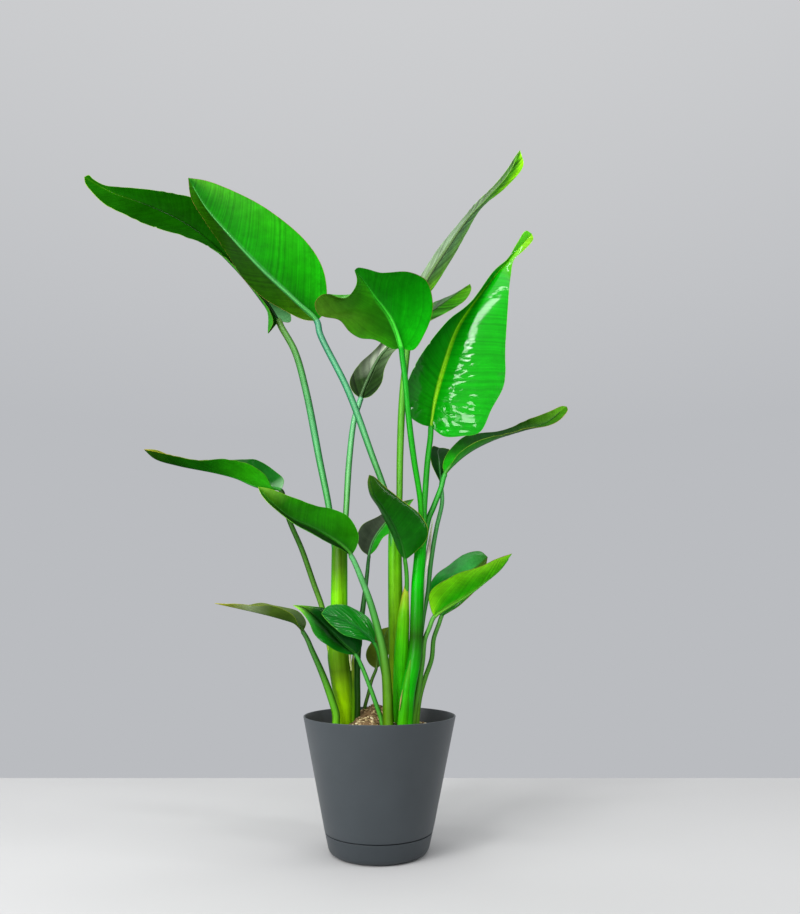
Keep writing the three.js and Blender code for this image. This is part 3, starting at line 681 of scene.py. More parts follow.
@dataclass(frozen=True)
class LeafTones:
    """Colours of a leaf, each a list of hex stops from base to tip. Besides the leaf's own colours they hold
    painted light: darker stops for painted shade, pale stops for painted highlight and sheen.

    Attributes:
        left: Front of the left half.
        right: Front of the right half.
        rib: Midrib.
        stalk: Stalk from foot to blade.
        back: The other side of the blade.
        margin: Thin rim of the blade.
        left_rim: Outer part of the left half, where bands of painted light and shade go, or none where it is
            like the rest.
        right_rim: Outer part of the right half, likewise.
        left_back: Other side of the left half where it is seen, or none.
        right_back: Other side of the right half where it is seen, or none.
        gleam: Strength of the pale painted highlight along the middle of the stalk.
    """

    left: Stops
    right: Stops
    rib: Stops
    stalk: Stops
    back: Stops = ("2c7a1c", "2f8a1c", "3f921c")
    margin: Stops = ("5f8a1a", "7a8a2a")
    left_rim: Stops | None = None
    right_rim: Stops | None = None
    left_back: Stops | None = None
    right_back: Stops | None = None
    gleam: float = 0.08

    def half(self, right: bool, share: np.ndarray, reach: np.ndarray) -> np.ndarray:
        """Front colours of one half, which change from near the rib to the rim, partly as painted light and
        shade.

        Args:
            right: Whether it is the right half.
            share: Places from base to tip.
            reach: Places from rib (0) to margin (1), the shape of share.

        Returns:
            Linear colours, the shape of share with a last axis of 4.
        """
        near, rim = (self.right, self.right_rim) if right else (self.left, self.left_rim)
        tone = blend_stops(near, share)
        if rim is None:
            return tone
        far = smooth(reach, 0.1, 0.95)[..., None]
        return tone * (1 - far) + blend_stops(rim, share) * far


@dataclass
class Leaf:
    """One leaf: stalk, midrib and blade.

    Attributes:
        name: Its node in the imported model.
        rooted: Whether it stands in the soil, and not in a stem.
        side: Which side of the blade faces the front.
        girth: Stalk radius in mm at foot, middle and blade.
        arch: How far each half bulges, as a share of its width.
        ripple: Height of the margin's waves in mm.
        stalk: Points from the foot to the blade in mm.
        rib: Points along the midrib.
        left: Points along the left margin.
        right: Points along the right margin.
        tones: Its colours.
        tears: Notches in its margins.
        pleat: Height of the folds along the veins in mm.
        lean: How far a side vein runs forward for each mm that it runs out.
        sink: How far the midrib lies behind the blade, as a share of its radius.
        front: Finish of the front, or none for the one of its side.
        rear: Finish of the far side, likewise.
    """

    name: str
    rooted: bool
    side: Side
    girth: tuple[float, float, float]
    arch: float
    ripple: float
    stalk: list[Point]
    rib: list[Point]
    left: list[Point]
    right: list[Point]
    tones: LeafTones
    tears: tuple[Tear, ...] = ()
    pleat: float = 0.16
    lean: float = 0.6
    sink: float = 0.4
    front: Finish | None = None
    rear: Finish | None = None

    FOOT_HEIGHT = 150.0
    THICKNESS = 0.9
    ROW_STEP = 1.8
    COLUMN_STEP = 3.6
    STALK_SIDES = 24
    STALK_STEP = 4.0
    RIB_TIP_RADIUS = 0.9
    RIB_REACH = 0.93
    RIB_COLUMNS = (0, 0.5, 0.9, 1.0)
    RIM_WIDTH = 0.9
    MARGIN_WAVES = 3
    FOLD_LENGTHS = (11, 27)
    DRIFT_LENGTHS = (31, 13.7)
    CHANNEL_DEPTH = 0.32
    CHANNEL_ANGLE = 0.42
    RIDGES = 6
    RIDGE_HEIGHT = 0.012
    EDGE_SHADE = 0.3
    # Colour of the painted highlight along a stalk
    PAINTED_GLEAM = "b4e4b4"

    def __post_init__(self) -> None:
        """Lay out the routes of the stalk with the rib, and of both margins."""
        foot = [(self.stalk[0][0], self.stalk[0][1], self.FOOT_HEIGHT)] if self.rooted else []
        stalk = foot + self.stalk
        self.spine = Route(stalk + self.rib)
        self.blade_start = self.spine.length_at(len(stalk))
        self.margins = [Route([self.rib[0], *side, self.rib[-1]]) for side in (self.left, self.right)]
        self.blade_length = self.spine.total - self.blade_start

    def rib_at(self, share: np.ndarray) -> np.ndarray:
        """Points on the rib at shares of the blade's length."""
        return self.spine.at(self.blade_start + self.blade_length * share)

    def normal_at(self, share: np.ndarray) -> np.ndarray:
        """Directions out of the blade's front: along the rib crossed with the way from the right margin
        to the left.

        Args:
            share: Shares of the blade's length, shape (rows,).

        Returns:
            Unit vectors, shape (rows, 3).
        """
        step = 0.02
        start, end = np.maximum(share, 0.03) - step, np.minimum(share, 0.97) + step
        middle = (start + end) / 2
        left, right = (route.at(route.total * middle) for route in self.margins)
        return unit(np.cross(self.rib_at(end) - self.rib_at(start), left - right))

    def rib_radius(self, share: np.ndarray) -> np.ndarray:
        """Radius of the midrib at shares of the blade's length."""
        run = np.clip(share / self.RIB_REACH, 0, 1)
        return np.maximum(self.girth[2] * 0.8 * (1 - run) ** 1.35 + self.RIB_TIP_RADIUS * run, 0.3)

    def half_surface(self, share: np.ndarray, right: bool) -> tuple[np.ndarray, ...]:
        """Points of one half of the blade's middle surface.

        A point lies at a share r of the way from the rib to the margin, moved along the normal by an arch of
        4 r (1 - r), by the margin's waves, and by pleats that follow the side veins. A vein is where the
        length along the rib less lean times the distance from it stays the same. The pleats are two sine
        waves across the veins whose phase drifts, so no two are alike. On an upper side the rib lies in a
        channel. A tear takes a rounded notch off the width.

        Args:
            share: Shares of the blade's length, shape (rows,).
            right: Whether it is the right half.

        Returns:
            Points (rows, columns, 3), distances from the rib, widths of the half (rows, 1), and places
            across the veins, all in mm and with columns from the rib outwards.
        """
        route = self.margins[int(right)]
        rib, margin = self.rib_at(share), route.at(route.total * share)
        reach = margin - rib
        width = np.linalg.norm(reach, axis=1)[:, None]
        for tear in (tear for tear in self.tears if tear.right == right):
            away = np.abs(share - tear.share)[:, None] * self.blade_length / tear.width
            width = width - np.minimum(tear.depth, 0.8 * width) * np.clip(1 - away, 0, 1) ** 0.8
        width = np.maximum(width, 1e-3)
        rib_width = np.minimum(self.rib_radius(share)[:, None], 0.35 * width)
        rim = np.minimum(self.RIM_WIDTH, 0.1 * width)
        count = int(np.clip(np.max(width) / self.COLUMN_STEP, 5, 24))
        inner = rib_width * np.array(self.RIB_COLUMNS)
        outer = np.linspace(0, 1, count + 1)[None, 1:]
        middle = rib_width + (width - rim - rib_width) * outer
        distance = np.hstack([inner, middle, width - 0.45 * rim, width])
        r = distance / width
        t = share[:, None]
        phase = 2.0 if right else 0.0
        full = np.linalg.norm(reach, axis=1)[:, None]
        arch = self.side.value * self.arch * full * 4 * (distance / np.maximum(full, 1e-3)) * (1 - r)
        wave = self.ripple * r ** 2 * np.sin(np.pi * t) * np.sin(2 * self.MARGIN_WAVES * np.pi * t + phase)
        veins = self.blade_length * t - self.lean * distance
        slow, quick = self.DRIFT_LENGTHS
        short, long = self.FOLD_LENGTHS
        drift = 1.3 * np.sin(veins / slow + phase) + 0.8 * np.sin(veins / quick)
        folds = np.sin(veins * 2 * np.pi / short + drift)
        folds = folds + 0.5 * np.sin(veins * 2 * np.pi / long + 1.7 * drift)
        calm = np.clip(full / 30, 0, 1) ** 2
        between = np.sqrt(np.clip(np.sin(np.pi * r), 0, 1))
        pleats = self.pleat * calm * between * np.sin(np.pi * t) ** 0.5 * folds
        fine_wave = 0.3 * calm * self.ripple * r ** 4 * np.sin(np.pi * t) * np.sin(veins / 7.3 + 2.2 * drift)
        channel = -0.9 * rib_width * np.clip(1 - (distance / rib_width) ** 2, 0, 1)
        channel = channel * (self.side is Side.UPPER)
        lift = arch + wave + pleats + fine_wave + channel
        points = rib[:, None] + unit(reach)[:, None] * distance[..., None]
        return points + self.normal_at(share)[:, None] * lift[..., None], distance, width, veins

    def blade_skin(self) -> Skin:
        """Closed thin blade: the middle surface moved half the thickness out each way.

        A ring runs from the left margin across the front to the right margin and back across the far side.
        The thickness is less in the outer strip, so the margin is thin.

        Returns:
            The blade, with the front in slot 0 and the far side in slot 1.
        """
        rows = max(24, int(self.blade_length / self.ROW_STEP))
        share = np.linspace(0, 1, rows + 1)[1:-1]
        halves = [self.half_surface(share, right) for right in (False, True)]
        points, distance, veins = (np.hstack([halves[0][k][:, ::-1], halves[1][k][:, 1:]]) for k in (0, 1, 3))
        left_count = halves[0][0].shape[1]
        width = np.hstack([np.repeat(halves[0][2], left_count, 1),
                           np.repeat(halves[1][2], points.shape[1] - left_count, 1)])
        along = np.gradient(points, axis=0)
        across = -np.gradient(points, axis=1)
        out = unit(np.cross(along, across))
        inset = width - distance
        thick = self.THICKNESS / 2 * (0.45 + 0.55 * smooth(inset, 0, 2.5))[..., None]
        front, back = points + out * thick, points - out * thick
        rings = np.concatenate([front, back[:, ::-1]], axis=1)
        t = np.repeat(share[:, None], points.shape[1], 1)
        right = np.arange(points.shape[1]) >= left_count
        reach = distance / width
        on_right = right[None, :, None]
        tone = np.where(on_right, self.tones.half(True, t, reach), self.tones.half(False, t, reach))
        rib_edge = np.minimum(self.rib_radius(share)[:, None], 0.35 * width)
        in_rib = smooth(rib_edge - distance, -1.4, 0.4)[..., None] * np.clip(1.25 - t, 0.25, 1)[..., None]
        tone = tone * (1 - in_rib) + blend_stops(self.tones.rib, t) * in_rib
        on_rim = (inset < 0.6 * self.RIM_WIDTH)[..., None]
        tone = np.where(on_rim, blend_stops(self.tones.margin, t), tone)
        back_tone = np.where(on_right, blend_stops(self.tones.right_back or self.tones.back, t),
                             blend_stops(self.tones.left_back or self.tones.back, t))
        back_tone = np.where(on_rim, blend_stops(self.tones.margin, t), back_tone)
        lie = np.stack([veins, distance - rib_edge, inset], -1)
        count = points.shape[1]
        slots = np.concatenate([np.full(count, 0), np.full(count, 1)])
        tones = np.concatenate([tone, back_tone[:, ::-1]], axis=1)
        return Skin(rings, self.rib_at(np.array([0.0, 1.0])), tones,
                    np.concatenate([lie, lie[:, ::-1]], axis=1), slots)

    def stalk_skin(self) -> Skin:
        """Closed stalk that runs on as the midrib behind the blade.

        Its ring is round at the foot, and towards the blade a channel opens on the blade's upper side, as
        deep as a third of the radius: a bell curve of the angle away from that side. Six faint ridges run
        along it, a sine of six times the angle. Its tone holds painted light: painted shade on its sides and
        a pale painted highlight along the middle of its front and back.

        Returns:
            The stalk, in slot 2.
        """
        stalk_rows = max(8, int(self.blade_start / self.STALK_STEP))
        rib_rows = max(8, int(self.blade_length * self.RIB_REACH / self.STALK_STEP))
        up = np.linspace(0, 1, stalk_rows + 1)
        out = np.linspace(0, self.RIB_REACH, rib_rows + 1)[1:]
        radii = np.concatenate([np.interp(up, [0, 0.5, 1], self.girth), self.rib_radius(out)])
        depth = self.side.value * self.sink * self.rib_radius(out)[:, None]
        blade_centres = self.rib_at(out) - depth * self.normal_at(out)
        centres = np.vstack([self.spine.at(up * self.blade_start), blade_centres])
        angles = np.linspace(0, 2 * np.pi, self.STALK_SIDES, endpoint=False)
        opening = np.concatenate([smooth(up, 0.35, 1.0), np.ones(rib_rows)])[:, None]
        turn = np.angle(np.exp(1j * (angles - self.side.value * np.pi / 2)))[None]
        channel = 1 - self.CHANNEL_DEPTH * opening * np.exp(-(turn / self.CHANNEL_ANGLE) ** 2)
        ridges = 1 + self.RIDGE_HEIGHT * np.sin(self.RIDGES * angles)[None]
        around = radii[:, None] * channel * ridges
        rings = tube_rings(centres, around)
        length = np.concatenate([up * self.blade_start, self.blade_start + out * self.blade_length])[:, None]
        tone = np.vstack([blend_stops(self.tones.stalk, up), blend_stops(self.tones.rib, out)])
        tone = tone[:, None]
        # Painted light: shade on the stalk's sides, a pale painted highlight along the middle of its front
        # and back
        middle = (np.abs(np.sin(angles)) ** 2.0)[None, :, None]
        gleam = self.tones.gleam * np.concatenate([np.ones(len(up)), np.full(rib_rows, 0.3)])[:, None, None]
        shade = self.EDGE_SHADE + (1 - self.EDGE_SHADE) * middle
        tones = tone * shade + gleam * middle ** 6 * (linear(self.PAINTED_GLEAM) - tone)
        lie = np.stack(np.broadcast_arrays(6 * np.cos(angles)[None], 6 * np.sin(angles)[None], length), -1)
        ends = np.stack([centres[0], centres[-1] + unit(centres[-1] - centres[-2]) * radii[-1]])
        return Skin(rings, ends, tones, lie, np.full(self.STALK_SIDES, 2))

    def build(self, palette: Palette) -> bpy.types.Object:
        """Make the leaf's piece.

        Args:
            palette: The materials.

        Returns:
            The piece.
        """
        own, other = (LEAF_UPPER, LEAF_UNDER) if self.side is Side.UPPER else (LEAF_UNDER, LEAF_UPPER)
        materials = [palette.get(finish) for finish in (self.front or own, self.rear or other, STALK)]
        piece = make_piece(self.name + "_fine", [self.blade_skin(), self.stalk_skin()], materials)
        settle(piece, "leaf", self.name)
        return piece


# Tone stops hold painted light besides each leaf's own colours: parts that face away from the light are
# painted darker, and pale stops stand for painted highlights and sheen.
LEAVES = [
    Leaf("leaf_high_far_left", False, Side.UPPER, (5, 6.4, 6), -0.07, 2.5,
         stalk=[(-75, 12, 436), (-80, 12, 473), (-91, 14, 536), (-108, 18, 611), (-137, 22, 743),
                (-160, 26, 819), (-188, 30, 870)],
         rib=[(-193, 34, 882), (-226, 48, 935), (-291, 66, 1016), (-385, 74, 1104), (-469, 76, 1150),
              (-546, 70, 1177), (-601, 62, 1206)],
         left=[(-208, 14, 848), (-199, 10, 867), (-207, 12, 892), (-225, 20, 922), (-286, 34, 997),
               (-342, 38, 1041), (-392, 40, 1066), (-459, 46, 1088), (-524, 54, 1124), (-552, 56, 1142),
               (-582, 58, 1172), (-596, 60, 1190)],
         right=[(-175, 50, 887), (-181, 68, 924), (-247, 108, 1071), (-331, 122, 1166), (-403, 120, 1197),
                (-481, 108, 1210), (-540, 90, 1203), (-565, 76, 1197), (-586, 68, 1206), (-593, 64, 1212)],
         # Its first right stop is a painted reflection on the small glossy lobe at the base
         tones=LeafTones(left=("124800", "0a4400", "0a4400", "083c00", "145804"),
                         right=("78c080", "145408", "0a4400", "0a4400", "084000", "083c00", "084000",
                                "0a4800", "185c04"), rib=("0c4400", "083600", "063000", "062c00", "4a9008"),
                         stalk=("2f8c2c", "349c40", "3c9c58", "3c8c3c", "588a28"),
                         margin=("5c8a2c", "4c7c1c", "8cb82c"), gleam=0.2),
         tears=(Tear(False, 0.3, 4, 3), Tear(False, 0.42, 3, 2.5), Tear(False, 0.47, 5, 3),
                Tear(False, 0.66, 3, 3)), lean=0.8, sink=1.3, front=LEAF_MATT),
    Leaf("leaf_high_left", False, Side.UNDERSIDE, (4.5, 5.8, 5.6), 0.06, 1.5,
         stalk=[(20, 4, 458), (17, 2, 505), (10, -4, 544), (1, -9, 570), (-14, -16, 609), (-57, -28, 724),
                (-107, -38, 825)],
         rib=[(-113, -40, 848), (-148, -44, 882), (-211, -48, 942), (-281, -44, 1021), (-322, -34, 1074),
              (-367, -12, 1152)],
         left=[(-137, -30, 855), (-175, -5, 884), (-222, 15, 921), (-262, 25, 965), (-309, 25, 1037),
               (-341, 12, 1082), (-361, -4, 1114)],
         right=[(-100, -34, 868), (-98, -28, 909), (-109, -22, 964), (-142, -18, 1018), (-206, -14, 1078),
                (-268, -10, 1119), (-332, -8, 1148)],
         # Its left half is painted darker, painted shade where it faces away from the light; its right half
         # has painted shade by the rib and painted sheen towards the rim
         tones=LeafTones(left=("305c04", "1c4c00", "164000", "164400", "1c5400"),
                         right=("086004", "0a7400", "0a7c00", "0a6800", "106008"),
                         rib=("3c9c40", "389440", "2c8c2c", "1c7c10"),
                         stalk=("3c9c2c", "3c9c44", "3c9c68", "3c9470"),
                         margin=("7c8a3c", "8a6a3a", "7c5a2c"),
                         right_rim=("168808", "128c04", "1c8c08", "288810", "3c8418"), gleam=0.25),
         lean=1.2, front=LEAF_VEINED),
    Leaf("leaf_high_centre", False, Side.UNDERSIDE, (4.2, 5.2, 5), 0.1, 1.5,
         stalk=[(67, -13, 457), (67, -13, 486), (66, -18, 533), (55, -28, 606), (48, -34, 662),
                (41, -42, 739), (36, -48, 778)],
         rib=[(34, -52, 793), (17, -72, 836), (-10, -98, 865), (-27, -110, 886), (-43, -120, 902)],
         left=[(20, -55, 790), (-10, -70, 800), (-34, -88, 796), (-50, -104, 800), (-65, -125, 810),
               (-87, -155, 803), (-94, -172, 801), (-98, -180, 814), (-91, -172, 831), (-80, -160, 839),
               (-67, -146, 840), (-54, -136, 845), (-40, -128, 868), (-38, -124, 884)],
         right=[(54, -50, 790), (75, -50, 821), (89, -56, 869), (80, -70, 907), (46, -90, 915),
                (-1, -104, 907), (-23, -110, 910), (-38, -116, 909)],
         tones=LeafTones(left=("1c7008", "1c6808", "247408", "247808", "1c7c0c"),
                         right=("0f9c08", "0c9c08", "088404", "0a6c04", "0c6c04"),
                         rib=("50f040", "48e438", "38d028", "209810", "0c6404"),
                         stalk=("30b010", "18a80c", "10a010", "14a81c"),
                         margin=("3c8c14", "4c7c14", "7c5c34", "4c7c14", "3c7c14"),
                         left_rim=("1c8008", "3c9010", "50841c", "3c7c14", "1c6c0c"), gleam=0.02),
         lean=0.9),
    Leaf("leaf_high_right", False, Side.UNDERSIDE, (5, 6.4, 5.8), 0.06, 2.0,
         stalk=[(28, 14, 459), (29, 16, 507), (31, 20, 548), (32, 22, 618), (36, 28, 726), (41, 32, 785),
                (49, 38, 856)],
         rib=[(58, 44, 917), (82, 52, 973), (122, 62, 1044), (167, 74, 1119), (210, 84, 1173),
              (254, 90, 1231), (281, 92, 1291)],
         left=[(49, 70, 942), (75, 98, 1012), (125, 118, 1100), (178, 122, 1173), (219, 112, 1211),
               (251, 100, 1247), (273, 95, 1281)],
         right=[(74, 60, 937), (97, 84, 974), (137, 108, 1051), (169, 118, 1117), (199, 112, 1166),
                (249, 96, 1207), (286, 92, 1253)],
         # Its grey stops are partly the grey-green underside and partly painted sheen, the glancing
         # reflection off it
         tones=LeafTones(left=("4c5c40", "748e68", "64805c", "3c5c28", "2c6404"),
                         right=("50a00c", "58884c", "4c7c48", "348010", "246408"),
                         rib=("6c8c50", "64844c", "5a7a44", "4c8c14", "74c80c"),
                         stalk=("5cac14", "58b010", "5cb42c", "6cc03c"),
                         margin=("7cb03c", "6ca03c", "94d01c"),
                         right_rim=("68c00c", "70c80c", "5c9434", "5c9c30", "68b820", "78cc0c", "84d80c"),
                         gleam=0.1),
         lean=2.5, front=LEAF_PLEATED),
    Leaf("leaf_broad_right", False, Side.UPPER, (4, 5.2, 5), 0.05, 1.5,
         stalk=[(69, -3, 458), (72, 0, 497), (74, 4, 537), (80, 16, 611), (86, 25, 658)],
         rib=[(87, 25, 675), (94, 20, 724), (109, 14, 782), (134, 10, 855), (168, 12, 910), (207, 20, 964),
              (244, 28, 1012), (284, 30, 1060)],
         left=[(67, 5, 675), (46, -18, 686), (41, -35, 718), (59, -45, 767), (112, -40, 845),
               (158, -15, 896), (208, 12, 974), (235, 22, 1004), (254, 26, 1038), (273, 29, 1066)],
         right=[(109, 18, 656), (141, 2, 652), (169, -12, 655), (190, -18, 695), (212, -20, 738),
                (218, -20, 814), (230, -6, 923), (238, 14, 965), (246, 20, 1000), (267, 26, 1023),
                (286, 29, 1048)],
         tones=LeafTones(left=("18a80c", "0c8a08", "0a8008", "0a9008", "4cb00c"),
                         right=("06a008", "069a06", "069806", "06a006", "84c818"),
                         rib=("b8fc28", "a4f41c", "88e810", "70dc10"),
                         stalk=("20b010", "18b00c", "14a80c", "1cb414"),
                         margin=("3ca01c", "4cac1c", "9cc43c"),
                         left_rim=("0f9008", "065c04", "055404", "067808", "4cb00c"), gleam=0.1),
         tears=(Tear(False, 0.13, 5, 4), Tear(False, 0.27, 3, 3), Tear(False, 0.36, 3, 3)), pleat=0.04,
         lean=0.6, front=LEAF_GLOSSY),
    Leaf("leaf_high_back", False, Side.UNDERSIDE, (4.5, 5.6, 5), 0.06, 1.5,
         stalk=[(-66, 18, 436), (-63, 20, 474), (-61, 26, 526), (-58, 36, 615), (-51, 46, 694),
                (-43, 52, 726)],
         rib=[(-40, 54, 737), (-27, 60, 776), (-4, 70, 827), (42, 84, 884), (95, 98, 932),
              (173, 116, 1000)],
         left=[(-56, 70, 756), (-63, 84, 782), (-49, 98, 820), (-17, 112, 856), (32, 125, 921),
               (99, 130, 965), (143, 124, 984)],
         right=[(-21, 40, 738), (-3, 40, 761), (4, 48, 795), (24, 62, 836), (71, 82, 889), (124, 100, 931),
                (163, 108, 962), (175, 113, 987)],
         # Its pale grey stops part way up, near the rib, are a painted sheen
         tones=LeafTones(left=("142c0c", "1c3410", "a0ac94", "c0c8b4", "8ca080", "2f6a14", "2f7a14",
                               "3c8010"),
                         right=("142c0c", "1c3410", "4c6440", "7c9470", "3c8c20", "348808", "4c900c"),
                         rib=("3c5c2c", "5c7c4c", "5c7c4c", "2c6c10"),
                         stalk=("3c9c1c", "3c9c2c", "4cac5c", "5cb47c"),
                         left_rim=("142c0c", "1c3010", "38482c", "3c4c30", "34542c", "2f6a14", "2f7a14",
                                   "3c8010"), gleam=0.4),
         lean=1.5, front=LEAF_PLEATED),
    Leaf("leaf_mid_far_left", False, Side.UNDERSIDE, (4.5, 4.6, 4.2), 0.06, 1.5,
         stalk=[(-80, 8, 286), (-88, 12, 322), (-97, 16, 361), (-113, 18, 402), (-134, 18, 457),
                (-158, 18, 509), (-169, 18, 544)],
         rib=[(-173, 18, 558), (-215, 18, 565), (-253, 20, 581), (-289, 24, 591), (-359, 32, 606),
              (-403, 38, 620), (-425, 40, 638)],
         left=[(-184, -2, 559), (-195, -26, 579), (-218, -34, 594), (-256, -32, 601), (-297, -22, 604),
               (-350, 0, 614), (-393, 22, 629)],
         right=[(-172, 34, 581), (-190, 52, 600), (-231, 66, 624), (-274, 68, 627), (-321, 62, 622),
                (-367, 52, 625), (-405, 46, 638)],
         # Its first right stop is a painted highlight on the glossy lobe at the base
         tones=LeafTones(left=("30a020", "1c8010", "106404", "0c4c02", "2c5c0c"),
                         right=("a0d8a0", "145c18", "0c5010", "0c4c0c", "084408", "0c4806", "144c04",
                                "7c8c14"), rib=("4cb048", "248c18", "105c0a", "0c4c04"),
                         stalk=("94c42c", "58902c", "2c5c14", "20400c"),
                         margin=("3c7c1c", "4c7c1c", "9c8c2c"),
                         left_back=("30a818", "249008", "105c04", "0c3c02", "1c3c08"), gleam=0.02),
         lean=1.5, front=LEAF_SHINY, rear=LEAF_MATT),
    Leaf("leaf_mid_left", True, Side.UNDERSIDE, (9.5, 6.4, 4.2), 0.08, 1.0,
         stalk=[(14, -26, 185), (11, -32, 253), (5, -38, 295), (-4, -42, 331), (-15, -46, 368),
                (-29, -48, 404)],
         rib=[(-46, -48, 440), (-62, -50, 457), (-99, -58, 480), (-142, -72, 499), (-175, -86, 526),
              (-191, -92, 544)],
         left=[(-59, -66, 448), (-80, -84, 458), (-105, -96, 470), (-133, -100, 487), (-166, -98, 511),
               (-185, -94, 532)],
         right=[(-38, -30, 458), (-37, -14, 480), (-55, -10, 509), (-81, -18, 522), (-109, -34, 524),
                (-141, -56, 534), (-174, -80, 543)],
         tones=LeafTones(left=("0a2804", "0a2c04", "0c3004", "103804", "2c6c10"),
                         right=("146008", "186804", "145c04", "144c04", "4c8c10"),
                         rib=("3c8c24", "1c6c0c", "1c6408", "3c8c14"),
                         stalk=("609008", "549010", "449438", "58a864"),
                         margin=("3c8c1c", "4c9c1c", "8cbc24"),
                         right_rim=("1c6408", "207804", "1c7804", "207804", "7cb43c"), gleam=0.04)),
    Leaf("leaf_mid_centre", False, Side.UPPER, (3.4, 3.6, 3.4), 0.1, 1.0,
         stalk=[(41, -4, 354), (43, -12, 389), (43, -18, 407), (42, -24, 421)],
         rib=[(40, -30, 435), (35, -38, 459), (22, -52, 489), (5, -66, 516), (-9, -76, 535),
              (-17, -84, 565)],
         left=[(29, -18, 451), (14, -14, 488), (-3, -22, 520), (-17, -44, 541), (-20, -70, 556)],
         right=[(55, -28, 447), (75, -24, 469), (78, -26, 486), (65, -34, 508), (35, -48, 531),
                (8, -66, 549), (-9, -78, 563)],
         tones=LeafTones(left=("0e5c08", "0c5408", "0a4c02", "144c02", "3c5c10"),
                         right=("146c0c", "10640a", "0c5406", "104c02", "2c5c10"),
                         rib=("1c6c10", "0c5008", "0a4804", "104402"), stalk=("3c9c1c", "3c9c1c", "3c9c1c"),
                         margin=("6c9c2c", "a0a83c", "8a6c2c"), gleam=0.05)),
    Leaf("leaf_mid_back", True, Side.UNDERSIDE, (6, 5.4, 3), 0.06, 1.0,
         stalk=[(-38, 30, 184), (-38, 32, 214), (-39, 36, 261), (-37, 40, 309), (-31, 46, 361),
                (-25, 52, 417)],
         rib=[(-22, 58, 450), (-16, 64, 475), (-2, 74, 500), (21, 86, 529), (58, 100, 559)],
         left=[(-37, 76, 463), (-46, 92, 486), (-36, 104, 511), (-5, 112, 531), (32, 108, 554)],
         right=[(-11, 50, 460), (1, 50, 479), (16, 60, 493), (36, 80, 524)],
         tones=LeafTones(left=("364030", "303a2c", "323c2c", "2c5c1c"),
                         right=("24901c", "1c8c14", "188814", "3c9c14"), rib=("5ca05c", "4c9040", "3c8c24"),
                         stalk=("4a7c14", "2c7414", "1f6814", "2a702c"))),
    Leaf("leaf_mid_far_right", False, Side.UNDERSIDE, (3.6, 5, 4.4), 0.06, 1.5,
         stalk=[(67, -2, 412), (70, 4, 447), (74, 10, 473), (80, 11, 507), (90, 12, 531), (103, 12, 564)],
         rib=[(109, 8, 584), (130, 6, 607), (159, 8, 629), (204, 16, 652), (247, 26, 668), (294, 36, 686),
              (335, 44, 719)],
         left=[(107, 22, 605), (120, 42, 637), (148, 58, 665), (186, 66, 675), (230, 64, 684),
               (275, 56, 701), (306, 52, 713), (327, 47, 721)],
         right=[(115, -12, 592), (129, -30, 612), (154, -36, 628), (191, -30, 643), (253, 2, 665),
                (292, 20, 676), (319, 34, 691), (336, 42, 712)],
         tones=LeafTones(left=("18a010", "146804", "0c4804", "204c04", "4c8c14"),
                         right=("289010", "187004", "105404", "1c5004", "3c7c10"),
                         rib=("4cac38", "1c7c10", "145804", "306004"),
                         stalk=("20a80c", "1ca80c", "18a414", "2cac2c"),
                         margin=("5c942c", "7c942c", "8c7c2c"),
                         right_back=("1ca80c", "1c8404", "285804", "245c04", "448c10"), gleam=0.15)),
    Leaf("leaf_mid_right_back", False, Side.UNDERSIDE, (3.2, 4, 3.6), 0.05, 1.0,
         stalk=[(66, -6, 314), (71, 2, 349), (78, 10, 385), (84, 20, 435), (90, 28, 471), (96, 34, 500),
                (106, 44, 543)],
         rib=[(105, 52, 577), (104, 66, 606), (104, 90, 630), (104, 125, 654), (110, 160, 671)],
         left=[(93, 56, 604), (88, 70, 625), (90, 95, 650), (97, 130, 667)],
         right=[(115, 58, 604), (122, 74, 628), (125, 98, 649), (121, 135, 664)],
         tones=LeafTones(left=("0a3c10", "083808", "083408"), right=("0a3c10", "083808", "083408"),
                         rib=("2c7c2c", "0c4410", "0c3c0c"), stalk=("2c8c14", "3ca03c", "48a854"),
                         gleam=0.2)),
    Leaf("leaf_low_right", True, Side.UNDERSIDE, (5.4, 4.4, 3.6), 0.08, 1.0,
         stalk=[(53, 2, 184), (61, -2, 233), (68, -4, 277), (72, -8, 311), (79, -12, 328)],
         rib=[(87, -16, 346), (108, -18, 361), (138, -26, 378), (168, -38, 400), (191, -50, 419),
              (209, -60, 443)],
         left=[(82, -26, 355), (78, -44, 378), (90, -58, 394), (113, -68, 407), (147, -74, 418),
               (179, -70, 432)],
         right=[(97, -6, 350), (114, 0, 365), (142, 2, 383), (170, -8, 403), (192, -30, 424)],
         # Its bright left rim is a painted highlight along its upper edge, and the dark far side of its right
         # half is painted shade along its lower edge
         tones=LeafTones(left=("24a004", "24a004", "2ca404", "44b008", "64bc14"),
                         right=("146c04", "0c6c04", "0c6c04", "1c7804", "489c0c"),
                         rib=("6cb82c", "4ca818", "3c9c10"), stalk=("70b820", "60b030", "54a834", "60ac44"),
                         margin=("5c8a1a", "7a6a2a"),
                         left_rim=("98f020", "7ce010", "78dc10", "88e420", "8cd820"),
                         right_back=("104804", "0c4c04", "0c5004", "1c5c04", "489c0c"), gleam=0.05),
         lean=2.5, front=LEAF_VEINED),
    Leaf("leaf_low_right_back", True, Side.UPPER, (5, 4, 3.6), 0.08, 1.0,
         stalk=[(59, 20, 185), (64, 22, 220), (73, 24, 249), (84, 26, 279), (88, 28, 311), (97, 30, 335)],
         rib=[(101, 32, 346), (115, 36, 374), (135, 44, 401), (158, 54, 426), (186, 64, 449)],
         left=[(87, 50, 368), (82, 66, 394), (96, 80, 419), (121, 90, 439), (150, 90, 457), (174, 80, 461)],
         right=[(114, 22, 354), (135, 20, 367), (159, 30, 391), (177, 48, 420)],
         # Its pale third left stop is a painted highlight
         tones=LeafTones(left=("047008", "04700c", "349440", "2c6c20"),
